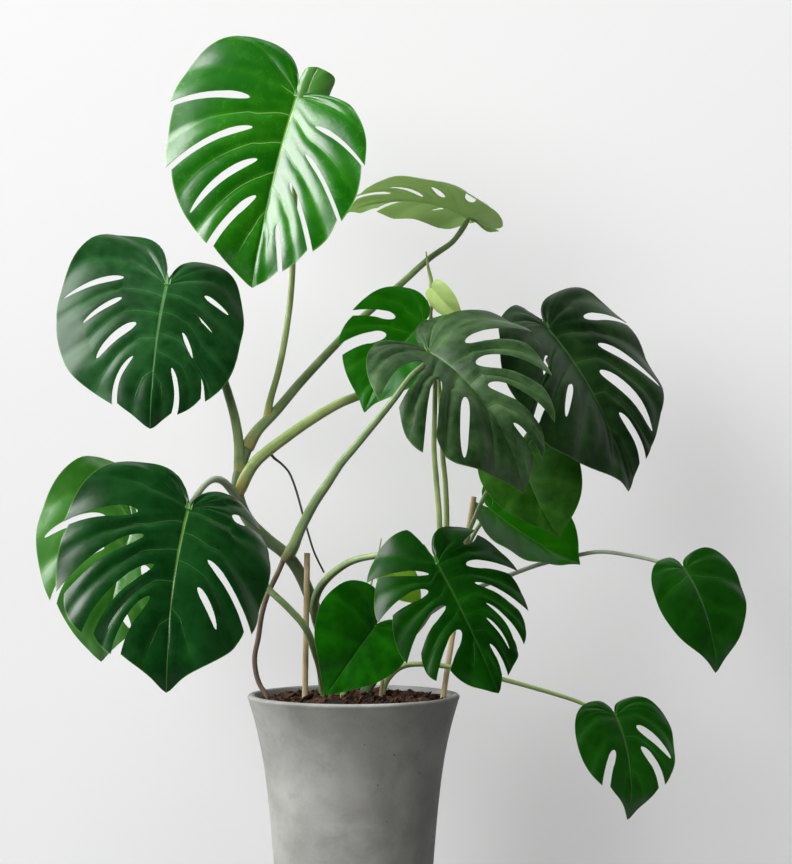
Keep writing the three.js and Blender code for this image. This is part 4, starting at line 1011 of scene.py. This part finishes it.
# Materials
class Tree:
    """A short way to write a node tree."""

    def __init__(self, tree):
        self.tree = tree

    def node(self, kind, inputs=None, **settings):
        made = self.tree.nodes.new(kind)
        for key, value in settings.items():
            setattr(made, key, value)
        for key, value in (inputs or {}).items():
            self.feed(value, made.inputs[key])
        return made

    def feed(self, value, socket):
        """Links another node's output to a socket, or sets the socket to a plain value."""
        if isinstance(value, bpy.types.NodeSocket):
            self.tree.links.new(value, socket)
        else:
            socket.default_value = value

    def math(self, operation, a, b=0.0):
        return self.node("ShaderNodeMath", {0: a, 1: b}, operation=operation).outputs[0]

    def times(self, a, b):
        return self.math("MULTIPLY", a, b)

    def total(self, *terms):
        """Sum of values, each with its weight."""
        parts = [value if weight == 1 else self.times(value, weight) for value, weight in terms]
        result = parts[0]
        for part in parts[1:]:
            result = self.math("ADD", result, part)
        return result

    def mix(self, factor, a, b):
        made = self.node("ShaderNodeMix", data_type="RGBA", blend_type="MIX", clamp_factor=True)
        for socket, value in ((0, factor), (6, a), (7, b)):
            self.feed(value, made.inputs[socket])
        return made.outputs[2]

    def step(self, value, low, high, out_low=0.0, out_high=1.0):
        made = self.node(
            "ShaderNodeMapRange", {0: value, 1: low, 2: high, 3: out_low, 4: out_high},
            interpolation_type="SMOOTHSTEP")
        return made.outputs[0]

    def attribute(self, name):
        return self.node("ShaderNodeAttribute", attribute_name=name).outputs["Fac"]

    def object_coords(self):
        return self.node("ShaderNodeTexCoord").outputs["Object"]

    def noise(self, coords, scale, detail, rough, distort=0.0):
        labels = ("Vector", "Scale", "Detail", "Roughness", "Distortion")
        inputs = dict(zip(labels, (coords, scale, detail, rough, distort)))
        return self.node("ShaderNodeTexNoise", inputs).outputs["Fac"]

    def bump(self, shader, height, strength, distance):
        made = self.node("ShaderNodeBump", {"Height": height, "Strength": strength, "Distance": distance})
        self.feed(made.outputs[0], shader.inputs["Normal"])

    def show(self, factor, a, b):
        """Sends a mix of two shaders to the material's surface."""
        mixed = self.node("ShaderNodeMixShader", {0: factor, 1: a.outputs[0], 2: b.outputs[0]})
        self.feed(mixed.outputs[0], self.tree.nodes["Material Output"].inputs["Surface"])


def colour(red, green, blue):
    return (red, green, blue, 1.0)


def group(name, inputs, outputs):
    """A node group; an input that starts as a colour is a colour socket, and so is the output named Color."""
    tree = bpy.data.node_groups.new(name, "ShaderNodeTree")
    for label, value in inputs.items():
        kind = "NodeSocketColor" if isinstance(value, tuple) else "NodeSocketFloat"
        socket = tree.interface.new_socket(label, in_out="INPUT", socket_type=kind)
        socket.default_value = value
    for label in outputs:
        kind = "NodeSocketColor" if label == "Color" else "NodeSocketFloat"
        tree.interface.new_socket(label, in_out="OUTPUT", socket_type=kind)
    make = Tree(tree)
    given = make.node("NodeGroupInput").outputs
    result = make.node("NodeGroupOutput").inputs
    return make, given, result


def surface(name, set_up, *values):
    """A material with a Principled shader; set_up fills it in."""
    material = bpy.data.materials.new(name)
    material.use_nodes = True
    set_up(Tree(material.node_tree), material.node_tree.nodes["Principled BSDF"], *values)
    return material


def vein_masks(make):
    """Masks of the midrib and of the side veins, both narrower towards the tip or the margin."""
    reach = make.attribute("reach")
    rib_width = make.step(make.attribute("along"), -0.05, 0.95, 2.6, 0.55)
    rib_mask = make.step(make.math("DIVIDE", make.attribute("rib"), rib_width), 0.55, 1.05, 1.0, 0.0)
    vein_width = make.step(reach, 0.0, 0.95, 0.75, 0.3)
    vein_mask = make.step(make.math("DIVIDE", make.attribute("vein"), vein_width), 0.4, 1.3, 1.0, 0.0)
    return rib_mask, make.times(vein_mask, make.step(reach, 0.35, 0.9, 1.0, 0.1))


LEAF_INPUTS = {
    "Deep": colour(0.01, 0.08, 0.02), "Light": colour(0.03, 0.18, 0.03), "Vein": colour(0.2, 0.4, 0.1),
    "Under": colour(0.12, 0.3, 0.08), "Vein strength": 0.6, "Rib strength": 0.8, "Gloss": 0.3,
}


def leaf_group():
    """Mottled green with a faint net, a light margin that is partly the edge's own paler tone and partly a
    painted rim highlight, light veins, and a paler underside.
    """
    make, given, result = group("leaf_pattern", LEAF_INPUTS, ("Color", "Roughness", "Height"))
    rib_mask, vein_mask = vein_masks(make)
    near_vein = make.step(make.attribute("vein"), 0.0, 9.0, 1.0, 0.0)
    under = make.attribute("under")
    coords = make.object_coords()
    blotch = make.noise(coords, 14.0, 4.0, 0.6)
    mottle = make.noise(coords, 90.0, 3.0, 0.6)
    cells = make.node("ShaderNodeTexVoronoi", {"Vector": coords, "Scale": 260.0}, feature="DISTANCE_TO_EDGE")
    net = make.step(cells.outputs["Distance"], 0.0, 0.08, 1.0, 0.0)
    shade = make.total((blotch, 0.9), (mottle, 0.35), (near_vein, 0.12))
    base = make.mix(make.step(shade, 0.35, 1.15), given["Deep"], given["Light"])
    base = make.mix(make.times(net, 0.1), base, given["Light"])
    # The light margin: partly the thin edge's own paler tone, partly a painted rim highlight.
    base = make.mix(make.step(make.attribute("reach"), 0.985, 1.0, 0.0, 0.45), base, given["Vein"])
    back = make.mix(make.step(blotch, 0.3, 0.7, 0.0, 0.4), given["Under"], given["Light"])
    base = make.mix(under, base, back)
    rib_line = make.times(rib_mask, given["Rib strength"])
    vein_line = make.times(vein_mask, given["Vein strength"])
    lines = make.math("MAXIMUM", rib_line, vein_line)
    make.feed(make.mix(make.times(lines, 0.85), base, given["Vein"]), result["Color"])
    make.feed(make.total((given["Gloss"], 1), (mottle, 0.12), (under, 0.22)), result["Roughness"])
    make.feed(make.total((vein_mask, -0.5), (net, -0.06), (mottle, 0.25)), result["Height"])
    return make.tree


# deep, light, vein and underside,
# then vein strength, rib strength, gloss, shine, glow through the blade and how much of it
LOOKS = {
    "bright": ((0.002, 0.08, 0.001), (0.028, 0.19, 0.004), (0.3, 0.52, 0.16), (0.16, 0.36, 0.1),
               0.6, 1.0, 0.2, 0.75, (0.2, 0.7, 0.04), 0.08),
    "blue": ((0.001, 0.022, 0.002), (0.022, 0.115, 0.026), (0.14, 0.3, 0.1), (0.14, 0.3, 0.12),
             0.15, 0.6, 0.3, 0.32, (0.06, 0.4, 0.06), 0.04),
    "deep": ((0.001, 0.022, 0.002), (0.01, 0.075, 0.013), (0.16, 0.34, 0.07), (0.14, 0.3, 0.12),
             0.15, 0.7, 0.24, 0.4, (0.06, 0.4, 0.04), 0.04),
    "fresh": ((0.002, 0.08, 0.0005), (0.025, 0.19, 0.003), (0.16, 0.36, 0.06), (0.12, 0.3, 0.06),
              0.1, 0.3, 0.26, 0.2, (0.2, 0.7, 0.04), 0.12),
    "pale": ((0.02, 0.12, 0.006), (0.08, 0.24, 0.04), (0.2, 0.4, 0.1), (0.12, 0.3, 0.06),
             0.12, 0.4, 0.26, 0.7, (0.2, 0.7, 0.04), 0.12),
    # The grey look's grey-green light tone is partly the blade's own tone and partly painted sheen from
    # overhead.
    "grey": ((0.001, 0.018, 0.001), (0.085, 0.17, 0.06), (0.15, 0.28, 0.08), (0.1, 0.24, 0.06),
             0.2, 0.5, 0.36, 0.35, (0.06, 0.35, 0.03), 0.03),
    "dark": ((0.001, 0.011, 0.001), (0.026, 0.075, 0.018), (0.12, 0.22, 0.08), (0.08, 0.18, 0.05),
             0.2, 0.5, 0.38, 0.3, (0.05, 0.25, 0.03), 0.02),
    "low": ((0.001, 0.025, 0.0005), (0.009, 0.085, 0.002), (0.09, 0.22, 0.04), (0.08, 0.22, 0.04),
            0.04, 0.22, 0.3, 0.5, (0.06, 0.5, 0.02), 0.05),
    "front": ((0.0005, 0.014, 0.0003), (0.005, 0.065, 0.001), (0.07, 0.2, 0.03), (0.08, 0.22, 0.04),
              0.02, 0.2, 0.26, 0.25, (0.06, 0.5, 0.02), 0.04),
    "plain": ((0.0003, 0.03, 0.0002), (0.012, 0.16, 0.001), (0.05, 0.16, 0.02), (0.08, 0.22, 0.04),
              0.05, 0.12, 0.36, 0.2, (0.06, 0.5, 0.02), 0.05),
    "shade": ((0.002, 0.03, 0.001), (0.06, 0.22, 0.016), (0.08, 0.2, 0.03), (0.1, 0.26, 0.05),
              0.05, 0.1, 0.42, 0.2, (0.12, 0.6, 0.03), 0.12),
    # The olive look's light tone, veins and pale underside are raised as painted glow: light through a leaf
    # that lies in shade.
    "olive_painted_glow": ((0.06, 0.16, 0.02), (0.16, 0.3, 0.05), (0.5, 0.6, 0.34), (0.6, 0.7, 0.4),
              0.3, 0.6, 0.4, 0.5, (0.52, 0.68, 0.34), 0.5),
    "lime": ((0.08, 0.2, 0.008), (0.22, 0.38, 0.03), (0.3, 0.5, 0.1), (0.2, 0.36, 0.06),
             0.1, 0.3, 0.34, 0.3, (0.5, 0.8, 0.1), 0.3),
    "young": ((0.44, 0.6, 0.18), (0.66, 0.8, 0.34), (0.68, 0.8, 0.4), (0.62, 0.76, 0.32),
              0.2, 0.4, 0.34, 0.5, (0.55, 0.8, 0.15), 0.3),
}


def pattern_node(make, pattern, labels, values):
    """A pattern group with a material's own values."""
    inputs = {}
    for label, value in zip(labels, values):
        inputs[label] = colour(*value) if isinstance(value, tuple) else value
    return make.node("ShaderNodeGroup", inputs, node_tree=pattern)


def leaf_look(make, shader, pattern, row):
    """Glossy green; a little light comes through the blade."""
    *values, shine, through, share = row
    node = pattern_node(make, pattern, LEAF_INPUTS, values)
    make.feed(node.outputs["Color"], shader.inputs["Base Color"])
    make.feed(node.outputs["Roughness"], shader.inputs["Roughness"])
    shader.inputs["IOR"].default_value = 1.48
    shader.inputs["Specular IOR Level"].default_value = shine
    make.bump(shader, node.outputs["Height"], 0.5, 0.0012)
    glow = make.node("ShaderNodeBsdfTranslucent", {"Color": colour(*through)})
    make.show(share, shader, glow)


STEM_INPUTS = {
    "Deep": colour(0.08, 0.14, 0.05), "Light": colour(0.2, 0.3, 0.1), "Streak": colour(0.3, 0.4, 0.18),
    "Foot": colour(0.3, 0.24, 0.1), "Foot share": 0.0,
}


def stem_group():
    """Blotched green or brown with streaks along the stem, specks and a foot of its own colour."""
    make, given, result = group("stem_pattern", STEM_INPUTS, ("Color", "Height"))
    coords = make.object_coords()
    blotch = make.noise(coords, 22.0, 4.0, 0.6)
    speck = make.noise(coords, 420.0, 2.0, 0.5)
    around, run = make.attribute("round"), make.attribute("run")
    lines = make.node("ShaderNodeCombineXYZ", {0: make.times(around, 9.0), 1: make.times(run, 0.012)})
    streak = make.noise(lines.outputs[0], 2.2, 3.0, 0.6)
    base = make.mix(make.step(blotch, 0.3, 0.7), given["Deep"], given["Light"])
    base = make.mix(make.step(streak, 0.45, 0.75, 0.0, 0.5), base, given["Streak"])
    base = make.mix(make.step(speck, 0.68, 0.75, 0.0, 0.45), base, given["Streak"])
    foot = make.times(make.step(make.attribute("along"), 0.0, 0.07, 1.0, 0.0), given["Foot share"])
    make.feed(make.mix(foot, base, given["Foot"]), result["Color"])
    make.feed(make.total((streak, 0.7), (speck, 0.3)), result["Height"])
    return make.tree


# deep, light, streak, foot, foot share, roughness
STEM_LOOKS = {
    "stem": ((0.075, 0.13, 0.055), (0.16, 0.23, 0.1), (0.26, 0.32, 0.16), (0.2, 0.16, 0.08), 0.3, 0.42),
    "stalk": ((0.1, 0.17, 0.055), (0.23, 0.33, 0.13), (0.36, 0.44, 0.22), (0.42, 0.26, 0.09), 0.45, 0.38),
    "stalk_light": ((0.2, 0.3, 0.08), (0.4, 0.5, 0.18), (0.5, 0.58, 0.28), (0.55, 0.32, 0.1), 0.5, 0.36),
    "stalk_grey": ((0.2, 0.25, 0.17), (0.38, 0.44, 0.32), (0.5, 0.55, 0.42), (0.2, 0.2, 0.12), 0.4, 0.4),
    "young": ((0.3, 0.46, 0.1), (0.46, 0.62, 0.2), (0.55, 0.7, 0.3), (0.4, 0.5, 0.2), 0.2, 0.35),
    "root": ((0.11, 0.07, 0.05), (0.24, 0.17, 0.13), (0.34, 0.26, 0.2), (0.12, 0.08, 0.05), 0.4, 0.7),
    "root_dark": ((0.04, 0.03, 0.025), (0.1, 0.075, 0.06), (0.16, 0.12, 0.1), (0.05, 0.03, 0.02), 0.4, 0.6),
    "cane": ((0.34, 0.25, 0.12), (0.56, 0.45, 0.25), (0.68, 0.58, 0.36), (0.16, 0.09, 0.05), 0.5, 0.55),
}


def stem_look(make, shader, pattern, row):
    *values, rough = row
    node = pattern_node(make, pattern, STEM_INPUTS, values)
    make.feed(node.outputs["Color"], shader.inputs["Base Color"])
    shader.inputs["Roughness"].default_value = rough
    make.bump(shader, node.outputs["Height"], 0.4, 0.0008)


def concrete(make, shader):
    """Cloudy and stained grey concrete with a fine grain and a few small pits, which are painted nearly black
    as shade in them.
    """
    coords = make.object_coords()
    cloud = make.noise(coords, 9.0, 5.0, 0.6, 0.4)
    stain = make.noise(coords, 26.0, 4.0, 0.6)
    grain = make.noise(coords, 900.0, 2.0, 0.6)
    cells = make.node("ShaderNodeTexVoronoi", {"Vector": coords, "Scale": 120.0}, feature="F1")
    chance = make.node(
        "ShaderNodeTexWhiteNoise", {"Vector": cells.outputs["Position"]}, noise_dimensions="3D")
    pit_size = make.step(chance.outputs["Value"], 0.93, 1.0, 0.0, 0.17)
    pit = make.math("LESS_THAN", cells.outputs["Distance"], pit_size)
    base = make.mix(make.step(cloud, 0.3, 0.72), colour(0.235, 0.235, 0.218), colour(0.375, 0.375, 0.352))
    base = make.mix(make.step(stain, 0.5, 0.72, 0.0, 0.42), base, colour(0.18, 0.18, 0.165))
    base = make.mix(make.step(grain, 0.4, 0.7, 0.0, 0.14), base, colour(0.5, 0.49, 0.48))
    # Painted shade: the small pits are darkened nearly to black, as shade in the hollows.
    base = make.mix(make.times(pit, 0.7), base, colour(0.05, 0.05, 0.045))
    make.feed(base, shader.inputs["Base Color"])
    shader.inputs["Roughness"].default_value = 0.78
    make.bump(shader, make.total((grain, 0.12), (stain, 0.3), (pit, -0.9)), 0.5, 0.0012)


def potting_mix(make, shader):
    """Nearly black crumbs with lighter clumps."""
    coords = make.object_coords()
    crumbs = make.noise(coords, 140.0, 5.0, 0.7)
    clumps = make.noise(coords, 45.0, 4.0, 0.6)
    base = make.mix(make.step(crumbs, 0.35, 0.7), colour(0.003, 0.002, 0.001), colour(0.022, 0.013, 0.007))
    base = make.mix(make.step(clumps, 0.55, 0.75, 0.0, 0.5), base, colour(0.06, 0.04, 0.022))
    make.feed(base, shader.inputs["Base Color"])
    shader.inputs["Roughness"].default_value = 0.92
    make.bump(shader, crumbs, 1.0, 0.003)


def bark(make, shader):
    """Reddish brown fibre, darker or lighter from chip to chip."""
    fibre = make.noise(make.object_coords(), 260.0, 4.0, 0.65)
    base = make.mix(make.attribute("tone"), colour(0.02, 0.009, 0.006), colour(0.12, 0.062, 0.04))
    base = make.mix(make.step(fibre, 0.4, 0.7, 0.0, 0.5), base, colour(0.05, 0.032, 0.018))
    make.feed(base, shader.inputs["Base Color"])
    shader.inputs["Roughness"].default_value = 0.8
    shader.inputs["Specular IOR Level"].default_value = 0.15
    make.bump(shader, fibre, 0.8, 0.0015)


# Build the pieces
LIGHT_STALKS = ("crown", "right_dark", "front_small", "low_right", "new_upper", "centre_behind")
GREY_STALKS = ("left_low", "far_right", "new_lower")
EXTRA_LOOK = {
    "dry_stub": ("cane", "cane"), "sheath_upper": ("stalk_light", "stalk"),
    "rolled_leaf": ("young", "young_leaf"),
    "aerial_root_thick": ("root", "root"), "aerial_root_thin": ("root_dark", "root"),
    "stake_left": ("cane", "cane"), "stake_right": ("cane", "cane"),
}


def stalk_look(name):
    if name in LIGHT_STALKS:
        return "stalk_light"
    return "stalk_grey" if name in GREY_STALKS else "stalk"


leaf_pattern = leaf_group()
stem_pattern = stem_group()
leaf_looks = {name: surface(f"leaf_{name}", leaf_look, leaf_pattern, row) for name, row in LOOKS.items()}
stem_looks = {name: surface(name, stem_look, stem_pattern, row) for name, row in STEM_LOOKS.items()}
for name, spec in LEAVES.items():
    slot_name = "young_leaf" if name.startswith("new_") else "leaf"
    blade_object(name, spec, leaf_looks[spec["look"]], slot_name, f"leaf_{name}")
blade_object("crown_ear", CROWN_EAR, leaf_looks[CROWN_EAR["look"]], "leaf", "leaf_crown")
for name, spec in STEMS.items():
    stalk_object(f"{name}_skin", spec, stem_looks["stem"], "stem", name)
for name, spec in STALKS.items():
    stalk_object(f"petiole_{name}", spec, stem_looks[stalk_look(name)], "stalk", f"stalk_{name}")
for name, spec in EXTRAS.items():
    look, slot_name = EXTRA_LOOK[name]
    stalk_object(f"{name}_skin", spec, stem_looks[look], slot_name, name)
pot_object(surface("concrete", concrete))
soil_object(surface("potting_mix", potting_mix))
chips_object(surface("bark", bark))

# Camera, as fitted to the pot's rim and taper
CAMERA_PLACE = (0.0557, -3.562, 0.675)
FOCAL_PIXELS = 2706
IMAGE_WIDTH = 792
SENSOR = 36.0
camera = bpy.data.objects.new("camera", bpy.data.cameras.new("camera"))
camera.location = CAMERA_PLACE
camera.rotation_euler = (math.pi / 2, 0, 0)
camera.data.sensor_fit = "HORIZONTAL"
camera.data.sensor_width = SENSOR
camera.data.lens = SENSOR * FOCAL_PIXELS / IMAGE_WIDTH
bpy.context.scene.collection.objects.link(camera)
bpy.context.scene.camera = camera

# Room: a wall close behind, a floor, a large window to the left and a pale surround
WALL_PLACE = 0.45
ROOM_SIDE = 6
ROOM_HEIGHT = 5
WALL_FOOT = -0.001
FLOOR_LEVEL = -0.0005
WALL_SHADE = 0.84
FLOOR_SHADE = 0.42
LIGHT_AIM = (0, 0, 0.7)
SURROUND_LIGHT = 0.06
SURROUND_SEEN = 0.8


def plane(name, corners, material):
    """A flat side of the room, which throws no light back on the plant."""
    mesh = bpy.data.meshes.new(name)
    mesh.from_pydata(corners, [], [(0, 1, 2, 3)])
    mesh.materials.append(material)
    obj = bpy.data.objects.new(name, mesh)
    obj.visible_diffuse = False
    bpy.context.scene.collection.objects.link(obj)


def paint(make, shader, shade, one_sided):
    """Matt paint; from behind, one-sided paint is clear, so that the wall doesn't hide the plant."""
    shader.inputs["Base Color"].default_value = colour(shade, shade, shade)
    shader.inputs["Roughness"].default_value = 1.0
    shader.inputs["Specular IOR Level"].default_value = 0.0
    if one_sided:
        clear = make.node("ShaderNodeBsdfTransparent")
        make.show(make.node("ShaderNodeNewGeometry").outputs["Backfacing"], shader, clear)


def add_wall():
    ends = (-ROOM_SIDE, ROOM_SIDE)
    corners = [(x, WALL_PLACE, WALL_FOOT) for x in ends]
    corners += [(x, WALL_PLACE, ROOM_HEIGHT) for x in reversed(ends)]
    plane("wall", corners, surface("wall_paint", paint, WALL_SHADE, True))


def add_floor():
    turns = ((-1, -1), (1, -1), (1, 1), (-1, 1))
    corners = [(ROOM_SIDE * x, ROOM_SIDE * y, FLOOR_LEVEL) for x, y in turns]
    plane("floor", corners, surface("floor_paint", paint, FLOOR_SHADE, False))


def window(name, turn, height, distance, size, power, shine):
    """An even rectangle of light, turned to the left of the camera and raised above level, in degrees."""
    light = bpy.data.lights.new(name, "AREA")
    light.shape = "RECTANGLE"
    light.size, light.size_y = size
    light.energy = power
    obj = bpy.data.objects.new(name, light)
    turn, height = math.radians(turn), math.radians(height)
    level = math.cos(height)
    away = Vector((-math.sin(turn) * level, -math.cos(turn) * level, math.sin(height)))
    obj.location = Vector(LIGHT_AIM) + away * distance
    obj.rotation_euler = away.to_track_quat("Z", "Y").to_euler()
    obj.visible_glossy = shine
    bpy.context.scene.collection.objects.link(obj)


def add_surround():
    """Even light from all round, dim on the plant but pale where the camera sees it."""
    world = bpy.data.worlds.new("surround")
    world.use_nodes = True
    make = Tree(world.node_tree)
    seen = make.node("ShaderNodeLightPath").outputs["Is Camera Ray"]
    background = world.node_tree.nodes["Background"]
    background.inputs["Color"].default_value = colour(1, 1, 1)
    make.feed(make.step(seen, 0.0, 1.0, SURROUND_LIGHT, SURROUND_SEEN), background.inputs["Strength"])
    bpy.context.scene.world = world
    world.cycles_visibility.glossy = False


add_wall()
add_floor()
window("window_side", 79, 33, 14, (10.0, 9.0), 4100, True)
window("window_front", 34, 16, 12, (7.0, 5.0), 540, False)
window("ceiling_light", 20, 70, 16, (9.0, 9.0), 2300, False)
window("bounce_right", -62, 12, 12, (6.0, 6.0), 190, False)
add_surround()
view = bpy.context.scene.view_settings
view.view_transform = "Standard"
view.look = "None"
view.exposure = 0.0
